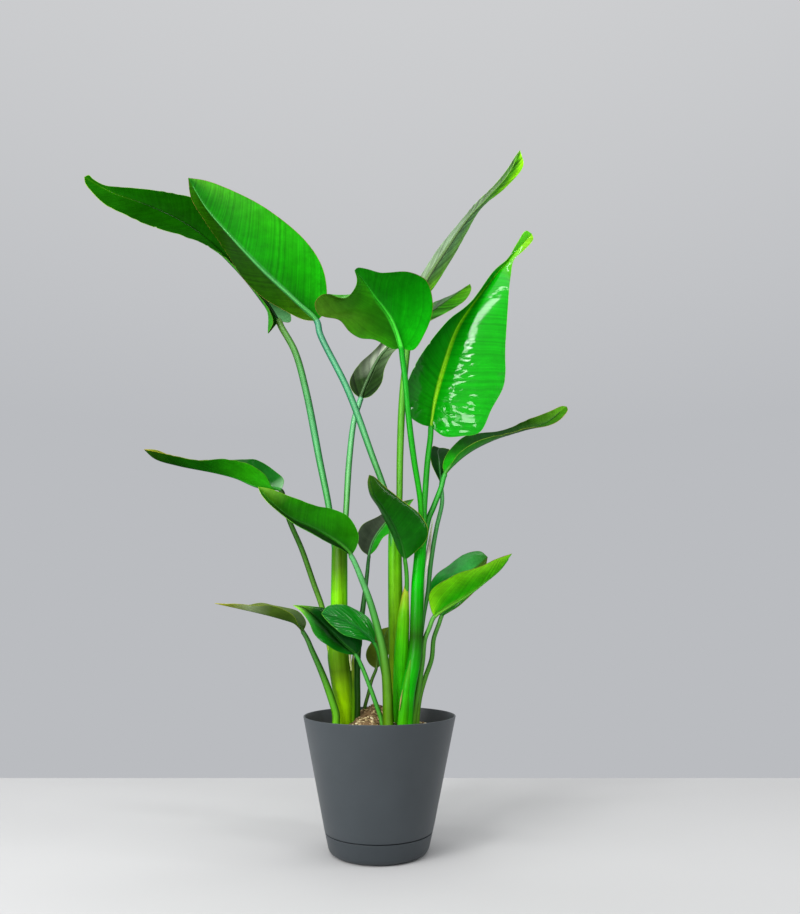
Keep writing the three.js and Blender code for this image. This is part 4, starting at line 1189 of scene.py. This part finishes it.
                         right=("1c6c14", "1c640c", "1c5c0c", "3c5414"), rib=("3c9c3c", "2c8c24", "2c6c14"),
                         stalk=("74b420", "64ac2c", "58a434", "5ca840"),
                         margin=("3c6c1c", "6c4c24", "5c3c18"), gleam=0.05),
         lean=2.0, front=LEAF_SHINY),
    Leaf("leaf_low_far_left", True, Side.UNDERSIDE, (6.5, 5.6, 3.6), 0.05, 1.0,
         stalk=[(-68, -14, 183), (-68, -13, 196), (-80, -8, 230), (-94, -4, 262), (-110, -2, 294),
                (-118, -2, 311)],
         rib=[(-125, -3, 322), (-137, -4, 335), (-161, -4, 343), (-193, -2, 351), (-231, 4, 359),
              (-275, 10, 368)],
         left=[(-129, -24, 330), (-138, -40, 350), (-166, -46, 361), (-197, -40, 364), (-239, -16, 366)],
         right=[(-123, 18, 338), (-138, 36, 354), (-170, 44, 364), (-202, 42, 369), (-231, 34, 365),
                (-255, 22, 367)],
         # The pale fourth stop of its left_back is a painted highlight
         tones=LeafTones(left=("304c10", "304c14", "586c30", "50640c", "b0b01c"),
                         right=("304c10", "304c14", "586c30", "586c0c", "a8a81c"),
                         rib=("4c7c34", "3c6420", "4c6418", "b0b01c"),
                         stalk=("74c414", "58a818", "387820", "3c7030"),
                         margin=("5c741c", "6c7c1c", "b0a82c"),
                         left_back=("304c10", "304c14", "486420", "8ca070", "7c8c30", "b0b01c"),
                         gleam=0.02),
         lean=1.5, front=LEAF_SHINY, rear=LEAF_MATT),
    Leaf("leaf_low_left", True, Side.UPPER, (4, 3.6, 3.2), 0.06, 1.0,
         stalk=[(4, -10, 183), (-8, -14, 219), (-20, -17, 250), (-30, -20, 273)],
         rib=[(-38, -22, 287), (-56, -28, 302), (-78, -38, 324), (-101, -50, 347), (-117, -58, 359),
              (-134, -64, 363)],
         left=[(-52, -38, 289), (-74, -58, 299), (-94, -72, 315), (-109, -78, 340), (-120, -74, 354)],
         right=[(-29, -14, 300), (-32, -12, 325), (-56, -20, 347), (-82, -34, 358), (-107, -50, 362)],
         # Its lighter left rim is painted sheen along its lower fold, and its last stops are partly its lime
         # tip and partly painted sheen
         tones=LeafTones(left=("063804", "0a3804", "083404", "0a3404"),
                         right=("0c4c10", "084010", "083808", "0c4c10", "6cac1c"),
                         rib=("2c7c1c", "146014", "0c4c10", "4c8c1c"), stalk=("60b42c", "4cb03c", "44a83c"),
                         margin=("2c7c1c", "2c7c1c", "7cb42c"),
                         left_rim=("187c1c", "106c10", "147414", "389c30", "8ccc34"), gleam=0.03),
         lean=2.0, front=LEAF_SHINY),
    Leaf("leaf_low_centre", True, Side.UPPER, (3.2, 3.2, 3), 0.08, 1.0,
         stalk=[(10, 13, 183), (10, 7, 209), (7, -4, 248), (-1, -16, 285)],
         rib=[(-8, -24, 304), (-23, -34, 319), (-46, -46, 335), (-69, -58, 344), (-89, -70, 350)],
         left=[(-21, -40, 310), (-34, -54, 312), (-52, -64, 318), (-69, -70, 329), (-81, -72, 341)],
         right=[(-8, -18, 321), (-15, -18, 339), (-35, -24, 356), (-58, -38, 364), (-80, -58, 362)],
         tones=LeafTones(left=("0c8420", "087810", "056c14", "0a6c18"),
                         right=("0a7414", "08800c", "067410", "0a7020"), rib=("2c9c3c", "1c7c28", "0c6410"),
                         stalk=("3c8c1c", "2c8c1c", "3ca42c"), margin=("2c8c2c", "2c8c24", "5ca42c"),
                         gleam=0.03),
         lean=2.4, front=LEAF_GLOSSY),
    Leaf("leaf_low_back", True, Side.UNDERSIDE, (3.6, 3, 2.6), 0.05, 1.0,
         stalk=[(-27, 44, 195), (-20, 36, 223), (-14, 28, 246)],
         rib=[(-7, 24, 263), (-4, 32, 283), (2, 42, 304), (13, 56, 330)],
         left=[(-19, 32, 271), (-25, 42, 284), (-17, 56, 305), (-2, 64, 325)],
         right=[(6, 24, 274), (15, 30, 290), (20, 42, 309)],
         tones=LeafTones(left=("4c5c1c", "4a5c14", "4c6414"), right=("3c5c14", "3c5c0c", "4c6414"),
                         rib=("5c7c2c", "4c742c", "4c6c1c"), stalk=("4c7c1c", "4c7c1c"))),
]


# Stems


@dataclass
class LeafSheath:
    """Leaf sheath that wraps a stem: a tube whose ring spirals out to an overlapping edge.

    Attributes:
        points: Middle of the sheath from the soil to its end in mm.
        radii: Radius at each point.
        centre: Colours up its front, lit: painted light.
        edge: Colours up its sides and back, in painted shade.
        seam: Angle of the overlapping edge at the foot in degrees, where 90 is the front.
        twist: How far that edge turns on its way up in degrees.
        step: How far the edge stands out in mm.
        open_top: Whether it ends in a mouth round the stalks, and not in a point.
    """

    points: list[Point]
    radii: tuple[float, ...]
    centre: Stops
    edge: Stops
    seam: float = 20.0
    twist: float = 40.0
    step: float = 1.1
    open_top: bool = True

    FOOT_HEIGHT = 150.0
    SIDES = 72
    RING_STEP = 3.0
    MOUTH = 26.0
    MOUTH_SHRINK = 0.16
    MOUTH_DIP = 5.0
    EDGE_TURN = 0.03
    RIBS = ((5, 0.018), (13, 0.012))
    SEAM_SHADE = 0.22

    def skin(self) -> Skin:
        """Closed sheath.

        The radius is the wrap's spiral, from the seam round to itself one step further out, on the radius of
        the solid less half a step, with five broad and thirteen fine ribs, each a sine of the angle. An open
        top narrows to a mouth. The front takes the centre colours as painted light and the sides and back the
        edge colours as painted shade, and painted shade darkens a narrow band just before the seam.

        Returns:
            The sheath.
        """
        x, y = self.points[0][:2]
        route = Route([(x, y, self.FOOT_HEIGHT), *self.points])
        count = max(12, int(route.total / self.RING_STEP))
        length = np.linspace(0, route.total, count + 1)
        knots = [route.length_at(i) for i in range(len(self.points) + 1)]
        radius = np.interp(length, knots, (self.radii[0], *self.radii))
        centres = route.at(length)
        share = length / route.total
        angles = np.linspace(0, 2 * np.pi, self.SIDES, endpoint=False)[None]
        seam = np.radians(self.seam + self.twist * share)[:, None]
        wrap = np.mod((angles - seam) / (2 * np.pi), 1)
        spiral = self.step * (wrap - 0.5) * np.clip(wrap / self.EDGE_TURN, 0, 1)
        (few, broad), (many, fine) = self.RIBS
        ribs = broad * np.sin(few * angles + 2 * share[:, None]) + fine * np.sin(many * angles)
        mouth = smooth(length, route.total - self.MOUTH, route.total)[:, None] if self.open_top else 0.0
        around = np.maximum(radius[:, None] * (1 + ribs - self.MOUTH_SHRINK * mouth) + spiral, 0.4)
        rings = tube_rings(centres, around)
        # Painted light: the front takes the centre colours, the sides and back the edge colours as painted
        # shade
        facing = np.clip(np.sin(angles), 0, 1) ** 1.3
        height = np.repeat(share[:, None], self.SIDES, 1)
        facing = facing[..., None]
        tones = blend_stops(self.edge, height) * (1 - facing) + blend_stops(self.centre, height) * facing
        # Painted shade along the step of the overlapping edge
        shaded = 1 - self.SEAM_SHADE * np.exp(-((1 - wrap) / 0.035) ** 2) * (self.step > 0)
        tones = tones * np.append(np.ones(3), 0)[None, None] * shaded[..., None] + [0, 0, 0, 1]
        lie = np.stack(np.broadcast_arrays(radius[:, None] * np.cos(angles), radius[:, None] * np.sin(angles),
                                           length[:, None]), -1)
        dip = self.MOUTH_DIP if self.open_top else 0.0
        ends = np.stack([centres[0], centres[-1] - dip * unit(centres[-1] - centres[-2])])
        return Skin(rings, ends, tones, lie)


@dataclass
class DryStrip:
    """Papery dry edge of a sheath: a thin strip along a path.

    Attributes:
        points: Its path in mm.
        widths: Half its width at evenly spaced places along the path.
        tones: Colours along it.
        facing: Direction that its flat side faces.
    """

    points: list[Point]
    widths: tuple[float, ...]
    tones: Stops
    facing: Point = (0.0, -1.0, 0.0)

    THICKNESS = 0.6
    RING_STEP = 2.0

    def skin(self) -> Skin:
        """Closed strip: flattened rings whose width follows widths, with a slight curl and waves.

        Across the strip, with u from -1 to 1, it rises by half its half width times (1 - u squared), and one
        edge rises as the other falls in a sine wave along it.

        Returns:
            The strip, in slot 1.
        """
        route = Route(self.points)
        count = max(12, int(route.total / self.RING_STEP))
        length = np.linspace(0, route.total, count + 1)
        share = length / route.total
        half = np.interp(share, np.linspace(0, 1, len(self.widths)), self.widths)[:, None]
        centres = route.at(length)
        along = unit(np.gradient(centres, axis=0))
        across = unit(np.cross(along, self.facing))
        out = unit(np.cross(across, along))
        u = np.linspace(-1, 1, 9)[None]
        curl = 0.5 * half * (1 - u ** 2) + 0.4 * np.sin(length / 5.1)[:, None] * u
        middle = centres[:, None] + across[:, None] * (half * u)[..., None] + out[:, None] * curl[..., None]
        lift = out[:, None] * self.THICKNESS / 2
        rings = np.concatenate([middle + lift, (middle - lift)[:, ::-1]], axis=1)
        tones = np.repeat(blend_stops(self.tones, share)[:, None], rings.shape[1], 1)
        lie = np.stack(np.broadcast_arrays(half * u, 0 * u, length[:, None]), -1)
        lie = np.concatenate([lie, lie], axis=1)
        return Skin(rings, centres[[0, -1]], tones, lie, np.full(rings.shape[1], 1))


@dataclass
class Stem:
    """Stem made of wrapped leaf sheaths.

    Attributes:
        name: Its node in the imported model.
        sheaths: The full sheath and a shorter one that wraps it.
        strips: Dry edges.
    """

    name: str
    sheaths: list[LeafSheath]
    strips: list[DryStrip] = field(default_factory=list)

    def build(self, palette: Palette) -> bpy.types.Object:
        """Make the stem's piece.

        Args:
            palette: The materials.

        Returns:
            The piece.
        """
        skins = [part.skin() for part in (*self.sheaths, *self.strips)]
        piece = make_piece(self.name + "_fine", skins, [palette.get(SHEATH), palette.get(DRY_SHEATH)])
        settle(piece, "stem", self.name)
        return piece


STEMS = [
    Stem("stem_left",
         # Its darker stops a third of the way up and at the top are painted shadow of the leaves over it
         [LeafSheath([(-57, 12, 177), (-58, 12, 208), (-61, 12, 238), (-66, 12, 282), (-67, 12, 317),
                      (-68, 12, 357), (-69, 14, 423), (-70, 16, 485)], (12, 13, 16.5, 19, 18, 14, 13.5, 13),
                     ("84bc00", "9cd800", "4c7004", "5c9808", "84dc00", "507c10", "3c7c0c"),
                     ("68b80c", "78cc0c", "2c5808", "28740c", "40b00c", "28780c", "24640c"), seam=150,
                     twist=-50),
          LeafSheath([(-45, 14, 177), (-45, 14, 216), (-45, 12, 259), (-44, 12, 286)], (5, 5, 3.5, 1),
                     ("5ca40c", "70b40c", "6c9c10", "a0b43c"), ("3c8c0c", "3c900c", "409010", "7c8c2c"),
                     step=0.3, open_top=False)],
         [DryStrip([(-46, 2, 262), (-48, 0, 278), (-49, -1, 296), (-47, 0, 308)], (1.2, 2.0, 1.4, 0.4),
                   ("a8b86c", "d0d4a8", "c8c89c"))]),
    Stem("stem_centre",
         [LeafSheath([(26, 8, 177), (27, 9, 232), (27, 10, 294), (25, 10, 373), (24, 10, 447),
                      (24, 10, 503)], (11, 13, 13, 12, 11.5, 11),
                     ("84a00c", "74900c", "60980a", "6cbc10", "48ac14"),
                     ("508c0c", "50740e", "246208", "1c6c06", "2c8c0c"), seam=60, twist=30),
          LeafSheath([(32, -2, 179), (33, -3, 233), (35, -5, 294), (38, -8, 344), (41, -10, 379),
                      (43, -12, 403)], (10, 12, 12, 10, 6, 1.5),
                     ("60980c", "38bc06", "34bc04", "40b804", "5cb408", "a4ac2c"),
                     ("4c6c08", "2c9404", "2c9404", "349c04", "58900c", "a06c2c"), seam=170, twist=-20,
                     step=0.8, open_top=False)]),
    Stem("stem_right",
         [LeafSheath([(40, -26, 182), (44, -26, 232), (53, -20, 272), (57, -16, 302), (59, -14, 347),
                      (61, -8, 400), (65, -6, 446), (67, -6, 484)],
                     (11, 11, 10.5, 10.5, 10.5, 10, 9.5, 9.5),
                     ("4cc00c", "10b404", "205c08", "04b404", "18a410"),
                     ("2c980c", "0c9004", "184008", "048c04", "109010"), seam=170, twist=10),
          LeafSheath([(36, -34, 183), (39, -33, 213), (43, -32, 243), (49, -28, 280)], (8, 8, 6, 1),
                     ("5cb40c", "3cac04", "2ca404", "4c8c1c"), ("3c940c", "2c8c04", "2c8404", "4c7c1c"),
                     seam=30, twist=0, step=0.4, open_top=False)],
         [DryStrip([(31, -39, 206), (33, -39.5, 220), (36, -39, 236)], (0.4, 1.1, 0.4),
                   ("8c9c4c", "b09c64", "8c9448")),
          DryStrip([(68, -9, 340), (71, -8, 400), (79, -4, 452), (87, 0, 506)], (1.2, 3.6, 3.4, 0.6),
                   ("a0c88c", "d8dccc", "e4dcd8", "b4a898", "a4c090"))]),
]


# Pot, saucer and soil


@dataclass
class TurnedPlastic:
    """Moulded plastic piece turned round Z from a profile.

    Attributes:
        node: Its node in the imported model.
        slot: Its material slot.
        profile: Radius and height of each corner from the middle underneath, up the outside, over the rim
            and down the inside, in mm.
        fillets: Radius of the rounding at each corner in mm.
        inner_from: Index of the first corner of the inside.
        finish: Its plastic.
    """

    node: str
    slot: str
    profile: list[tuple[float, float]]
    fillets: list[float]
    inner_from: int
    finish: MouldedPlastic

    SIDES = 192
    ARC_STEPS = 6
    RUN_STEP = 6
    FLOOR_STEPS = 12
    MOST_FILLET = 0.45

    def outline(self) -> tuple[np.ndarray, np.ndarray]:
        """Round the profile's corners.

        Each corner becomes the curve of two straight shares that slide from one side's tangent point to the
        other's, and each straight run gets inner points so that no face is long.

        Returns:
            Outline points (points, 2) and whether each belongs to the inside.
        """
        corners = np.array(self.profile, float)
        points, inside = [corners[0]], [0.0]
        for i in range(1, len(corners) - 1):
            before, corner, after = corners[i - 1], corners[i], corners[i + 1]
            reach = min(self.fillets[i], self.MOST_FILLET * np.linalg.norm(corner - before),
                        self.MOST_FILLET * np.linalg.norm(after - corner))
            start, end = (corner + unit(other - corner) * reach for other in (before, after))
            steps = max(2, int(np.linalg.norm(start - points[-1]) / self.RUN_STEP))
            run = np.linspace(0, 1, steps + 1)[1:, None]
            points.extend(points[-1] + (start - points[-1]) * run)
            t = np.linspace(0, 1, self.ARC_STEPS + 1)[1:, None]
            points.extend((1 - t) ** 2 * start + 2 * t * (1 - t) * corner + t ** 2 * end)
            inside.extend([float(i >= self.inner_from)] * (len(points) - len(inside)))
        run = np.linspace(0, 1, self.FLOOR_STEPS)[1:, None]
        points.extend(points[-1] + (corners[-1] - points[-1]) * run)
        inside.extend([1.0] * (len(points) - len(inside)))
        return np.array(points), np.array(inside)

    def build(self, palette: Palette) -> bpy.types.Object:
        """Turn the outline round Z and make the piece.

        Args:
            palette: The materials.

        Returns:
            The piece.
        """
        outline, inside = self.outline()
        angles = np.linspace(0, 2 * np.pi, self.SIDES, endpoint=False)
        radius, height = outline[1:-1, 0][:, None], outline[1:-1, 1][:, None]
        rings = np.stack(np.broadcast_arrays(radius * np.cos(angles), radius * np.sin(angles), height), -1)
        poles = np.array([[0, 0, outline[0, 1]], [0, 0, outline[-1, 1]]])
        skin = Skin(rings, poles, inside=inside[1:-1])
        piece = make_piece(self.node + "_fine", [skin], [palette.get(self.finish)], sharp_angle=35)
        settle(piece, self.slot, self.node)
        return piece


def pot_and_saucer() -> list[TurnedPlastic]:
    """Lay out the pot and the saucer from their packed boxes.

    Returns:
        The saucer and the pot.
    """
    pot_low, pot_high = (np.array(corner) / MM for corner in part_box("pot"))
    saucer_low, saucer_high = (np.array(corner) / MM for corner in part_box("saucer"))
    rim, top, foot = pot_high[0], pot_high[2], pot_low[2]
    dish, dish_top = saucer_high[0], saucer_high[2]
    wall = 2.5
    floor = 6.5
    ledge = dish + 0.5
    ledge_height = dish_top + 1.4
    pot = [(0, foot), (66, foot), (69.8, floor), (79, ledge_height), (ledge, ledge_height), (rim, top),
           (rim - wall, top), (ledge - wall, ledge_height + 2), (76.4, ledge_height - 3), (67.6, 9),
           (64, floor), (0, floor)]
    saucer = [(0, 0), (66, 0), (70.5, 0.9), (74.2, 3.4), (76.6, 7.4), (dish, dish_top),
              (dish - wall, dish_top), (74.5, 8.8), (72.4, 5.2), (68.6, 3), (0, 3)]
    return [
        TurnedPlastic("saucer", "saucer_plastic", saucer, [0, 2, 2, 2, 3, 0.7, 0.7, 3, 2, 2, 0], 6,
                      SAUCER_PLASTIC),
        TurnedPlastic("pot", "pot_plastic", pot, [0, 2, 2, 0.6, 0.7, 1.1, 1.0, 2, 2, 3, 3, 0], 6,
                      POT_PLASTIC),
    ]


@dataclass(frozen=True)
class Heap:
    """Soft heap of soil: rise, middle and spread along X and Y in mm."""

    rise: float
    x: float
    y: float
    spread_x: float
    spread_y: float

    def height(self, x: np.ndarray, y: np.ndarray) -> np.ndarray:
        """Bell-shaped height over the ground round it."""
        across, along = (x - self.x) / self.spread_x, (y - self.y) / self.spread_y
        return self.rise * np.exp(-0.5 * (across ** 2 + along ** 2))


@dataclass
class Soil:
    """Potting mix in the pot with loose bark crumbs on top.

    Attributes:
        feet: Places and radii of the stalks and stems that stand in it, in mm.
        crumbs: Number of loose crumbs.
    """

    feet: np.ndarray
    crumbs: int = 2300

    EDGE_HEIGHT = 165.0
    HEAPS = (Heap(22, 0, 18, 62, 44), Heap(22, -12, 52, 22, 20))
    LUMP = 1.6
    BURIED = ((0.0, 6.85), (63.0, 6.85), (67.2, 9.0), (76.0, 28.2), (79.9, 33.2))
    SIDE_TOP = 160.0
    EDGE_RADIUS = 107.9
    RINGS = 90
    SIDES = 240
    CRUMB_SIDES = 6
    CRUMB_RINGS = ((0.75, -0.5), (1.0, 0.0), (0.7, 0.5))
    TONES = ("6a5438", "98805c", "c0a87c", "d8c498", "ecdcb8")
    GROUND = "786044"

    def height(self, x: np.ndarray, y: np.ndarray) -> np.ndarray:
        """Height of the surface: two heaps with small lumps made of three sine waves."""
        lumps = np.sin(x / 7.1 + 1.3) * np.sin(y / 6.3) + 0.6 * np.sin((x + y) / 4.7)
        return self.EDGE_HEIGHT + sum(heap.height(x, y) for heap in self.HEAPS) + self.LUMP * lumps

    def bed_skin(self) -> Skin:
        """Closed body of soil: up the pot's wall, then in over the mounded surface in rings.

        The surface is the height with small crumbles, a product of two sine waves that bend each other.

        Returns:
            The body of soil.
        """
        side = np.array([*self.BURIED, (self.EDGE_RADIUS, self.SIDE_TOP)])
        angles = np.linspace(0, 2 * np.pi, self.SIDES, endpoint=False)
        top_radii = np.linspace(self.EDGE_RADIUS, 1.0, self.RINGS)
        radii = np.concatenate([side[1:, 0], top_radii])
        x, y = radii[:, None] * np.cos(angles), radii[:, None] * np.sin(angles)
        crumble = 0.7 * np.sin(x / 1.9 + 0.7 * np.sin(y / 2.3)) * np.sin(y / 2.1 + 0.9 * np.sin(x / 2.7))
        top = self.height(x, y) + crumble
        z = np.where(np.arange(len(radii))[:, None] < len(side) - 1,
                     np.concatenate([side[1:, 1], np.zeros(len(top_radii))])[:, None], top)
        tones = np.broadcast_to(linear(self.GROUND), (*x.shape, 4))
        poles = np.array([[0, 0, side[0, 1]], [0, 0, self.height(np.zeros(1), np.zeros(1))[0]]])
        return Skin(np.stack([x, y, z], -1), poles, tones)

    def crumb_skins(self) -> list[Skin]:
        """Loose crumbs: squashed stones of three rings of six jogged corners, turned at random.

        Their half widths run from 1.2 to 5.5 mm, small ones most often, and none lies in a stalk. A corner is
        turned by a spin round Z after a tilt round X, both as one matrix for each crumb.

        Returns:
            A closed surface for each crumb.
        """
        draw = np.random.default_rng(SEED)
        radius = (self.EDGE_RADIUS - 4) * np.sqrt(draw.uniform(0, 1, self.crumbs))
        angle = draw.uniform(0, 2 * np.pi, self.crumbs)
        size = 1.2 + 4.3 * draw.uniform(0, 1, self.crumbs) ** 2.2
        x, y = radius * np.cos(angle), radius * np.sin(angle)
        away = np.hypot(x[:, None] - self.feet[:, 0], y[:, None] - self.feet[:, 1])
        clear = np.all(away > self.feet[:, 2] + size[:, None] + 0.5, axis=1)
        x, y, size = x[clear], y[clear], size[clear]
        count = len(x)
        ring = np.linspace(0, 2 * np.pi, self.CRUMB_SIDES, endpoint=False)
        flat = np.stack([np.cos(ring), np.sin(ring)], -1)
        shape = np.stack([np.column_stack([flat * width, np.full(self.CRUMB_SIDES, level)])
                          for width, level in self.CRUMB_RINGS])
        body = shape * draw.uniform(0.75, 1.2, (count, *shape.shape[:2], 1))
        squash = np.stack([np.ones(count), draw.uniform(0.5, 0.95, count),
                           draw.uniform(0.35, 0.7, count)], -1)
        body = body * squash[:, None, None] * size[:, None, None, None]
        spin, tilt = draw.uniform(0, 2 * np.pi, count), draw.normal(0, 0.35, count)
        cos_s, sin_s, cos_t, sin_t = np.cos(spin), np.sin(spin), np.cos(tilt), np.sin(tilt)
        zero = np.zeros(count)
        turn = np.stack([np.stack([cos_s, -sin_s * cos_t, sin_s * sin_t], -1),
                         np.stack([sin_s, cos_s * cos_t, -cos_s * sin_t], -1),
                         np.stack([zero, sin_t, cos_t], -1)], 1)
        place = np.stack([x, y, self.height(x, y) + 0.15 * size], -1)
        placed = np.einsum("nij,nrkj->nrki", turn, body) + place[:, None, None]
        poles = np.stack([np.stack([zero, zero, end * size], -1) for end in (-0.3, 0.3)], 1)
        ends = np.einsum("nij,nkj->nki", turn, poles) + place[:, None]
        light = draw.uniform(0, 1, count) ** 1.2
        dark_heap = np.clip(self.HEAPS[1].height(x, y) / self.HEAPS[1].rise, 0, 1)
        tones = blend_stops(self.TONES, light * (1 - 0.75 * dark_heap))
        tones = np.broadcast_to(tones[:, None, None], (*placed.shape[:3], 4))
        return [Skin(*crumb) for crumb in zip(placed, ends, tones)]

    def build(self, palette: Palette) -> bpy.types.Object:
        """Make the soil's piece.

        Args:
            palette: The materials.

        Returns:
            The piece.
        """
        piece = make_piece("soil_fine", [self.bed_skin(), *self.crumb_skins()], [palette.get(POTTING_MIX)],
                           sharp_angle=25)
        settle(piece, "soil", "soil")
        return piece


# Studio


@dataclass(frozen=True)
class SoftBox:
    """Soft light: its name, place, aim, width and height in metres, power in watts, and roll in degrees."""

    name: str
    place: Point
    aim: Point
    width: float
    height: float
    power: float
    roll: float = 0.0

    def build(self) -> None:
        """Add the light."""
        data = bpy.data.lights.new(self.name, "AREA")
        data.shape = "RECTANGLE"
        data.size, data.size_y, data.energy = self.width, self.height, self.power
        light = bpy.data.objects.new(self.name, data)
        light.location = self.place
        facing = (Vector(self.aim) - Vector(self.place)).to_track_quat("-Z", "Y")
        light.rotation_euler = (facing @ Quaternion((0, 0, 1), math.radians(self.roll))).to_euler()
        bpy.context.scene.collection.objects.link(light)


@dataclass
class Studio:
    """Camera, floor, soft lights and the even grey behind them.

    Attributes:
        camera_place: Camera in metres.
        camera_tilt: How far it looks up in degrees.
        focal_pixels: Focal length in pixels of an image 914 pixels high.
        floor_back: Where the floor ends behind the plant, in metres.
        floor_reach: How far it runs to the other sides.
        backdrop: Colour behind it, low down.
        backdrop_high: Colour behind it, high up.
        lights: The soft boxes.
    """

    camera_place: Point = (0.032, -1.171, 0.333)
    camera_tilt: float = 13.5
    focal_pixels: float = 700.0
    floor_back: float = 0.521
    floor_reach: float = 3.0
    backdrop: str = "babcc0"
    backdrop_high: str = "cdced0"
    lights: tuple[SoftBox, ...] = (
        SoftBox("strip_over", (0.02, -0.77, 2.72), (0.22, 0, 0.95), 1.15, 0.14, 8),
        SoftBox("strip_high", (-0.8, -1.35, 2.55), (0.18, 0, 0.87), 0.2, 1.05, 12, roll=4),
        SoftBox("strip_low", (-1.42, -1.45, 1.82), (0.14, 0, 0.78), 0.14, 1.45, 12, roll=-44),
        SoftBox("window_low", (-1.0, -1.42, 0.9), (0.13, 0, 0.69), 0.75, 0.5, 18),
        SoftBox("side_left", (-2.6, -1.2, 0.95), (0, 0, 0.2), 1.0, 1.5, 25),
        SoftBox("fill_front", (0.9, -2.4, 1.1), (0.05, -0.1, 0.3), 1.6, 1.2, 3),
        SoftBox("key_right", (2.0, -0.6, 1.6), (0, 0, 0.45), 0.11, 1.7, 11),
        SoftBox("back_top", (-0.1, 0.7, 2.75), (0, 0, 0.4), 1.0, 0.3, 5),
        SoftBox("top", (0.1, 0.6, 3.0), (0.1, 0.3, 0), 2.8, 2.8, 20),
    )

    IMAGE_HEIGHT = 914
    SENSOR = 36.0
    FAR = 50
    BOARD_THICKNESS = 30.0
    BOARD_GAP = 0.02
    HORIZON = (0.26, 0.72)

    def build(self, palette: Palette) -> None:
        """Set up camera, floor, world and lights.

        Args:
            palette: The materials.
        """
        data = bpy.data.cameras.new("camera")
        data.sensor_width = self.SENSOR
        data.lens = self.SENSOR * self.focal_pixels / self.IMAGE_HEIGHT
        data.clip_end = self.FAR
        camera = bpy.data.objects.new("camera", data)
        camera.location = self.camera_place
        camera.rotation_euler = (math.radians(90 + self.camera_tilt), 0, 0)
        scene = bpy.context.scene
        scene.collection.objects.link(camera)
        scene.camera = camera
        scene.view_settings.view_transform = "Standard"
        scene.view_settings.look = "None"
        self.build_floor(palette)
        self.build_world()
        for light in self.lights:
            light.build()

    def build_floor(self, palette: Palette) -> None:
        """Add the board that the plant stands on: a flat box with its top a hair under zero.

        Args:
            palette: The materials.
        """
        left, right, front, back = -self.floor_reach, self.floor_reach, -self.floor_reach, self.floor_back
        corners = np.array([(left, front), (right, front), (right, back), (left, back)]) / MM
        heights = (-self.BOARD_THICKNESS, -self.BOARD_GAP)
        board = np.stack([np.column_stack([corners, np.full(4, height)]) for height in heights])
        poles = np.array([[0, (front + back) / 2 / MM, height] for height in heights])
        floor = make_piece("studio_floor", [Skin(board, poles)], [palette.get(FLOOR_PAINT)], sharp_angle=30)

    def build_world(self) -> None:
        """Fill the surroundings with soft grey that gets lighter from 15 to 45 degrees up."""
        world = bpy.data.worlds.new("studio_grey")
        world.use_nodes = True
        tree = world.node_tree
        way = add_node(tree, "TexCoord", output="Generated")
        up = add_node(tree, "SeparateXYZ", {0: way}, "Z")
        start, end = self.HORIZON
        high = add_node(tree, "MapRange", {0: up, 1: start, 2: end, 3: 0.0, 4: 1.0})
        pale, paler = (tuple(linear(colour)) for colour in (self.backdrop, self.backdrop_high))
        grey = add_node(tree, "Mix", {0: high, MIX_A: pale, MIX_B: paler}, MIX_RESULT, data_type="RGBA")
        tree.links.new(grey, tree.nodes["Background"].inputs["Color"])
        bpy.context.scene.world = world


# The whole plant


def soil_feet() -> np.ndarray:
    """List what stands in the soil.

    Returns:
        Place and radius in mm of each stalk and sheath, shape (stalks and sheaths, 3).
    """
    stalks = [(*leaf.stalk[0][:2], leaf.girth[0]) for leaf in LEAVES if leaf.rooted]
    sheaths = [(*sheath.points[0][:2], sheath.radii[0]) for stem in STEMS for sheath in stem.sheaths]
    return np.array(stalks + sheaths, float)


def main() -> None:
    """Build the studio and every piece of the plant in order."""
    logging.basicConfig(level=logging.INFO, format="%(name)s: %(message)s")
    palette = Palette()
    Studio().build(palette)
    for piece in (*pot_and_saucer(), Soil(soil_feet()), *STEMS, *LEAVES):
        piece.build(palette)


if __name__ == "__main__":
    main()
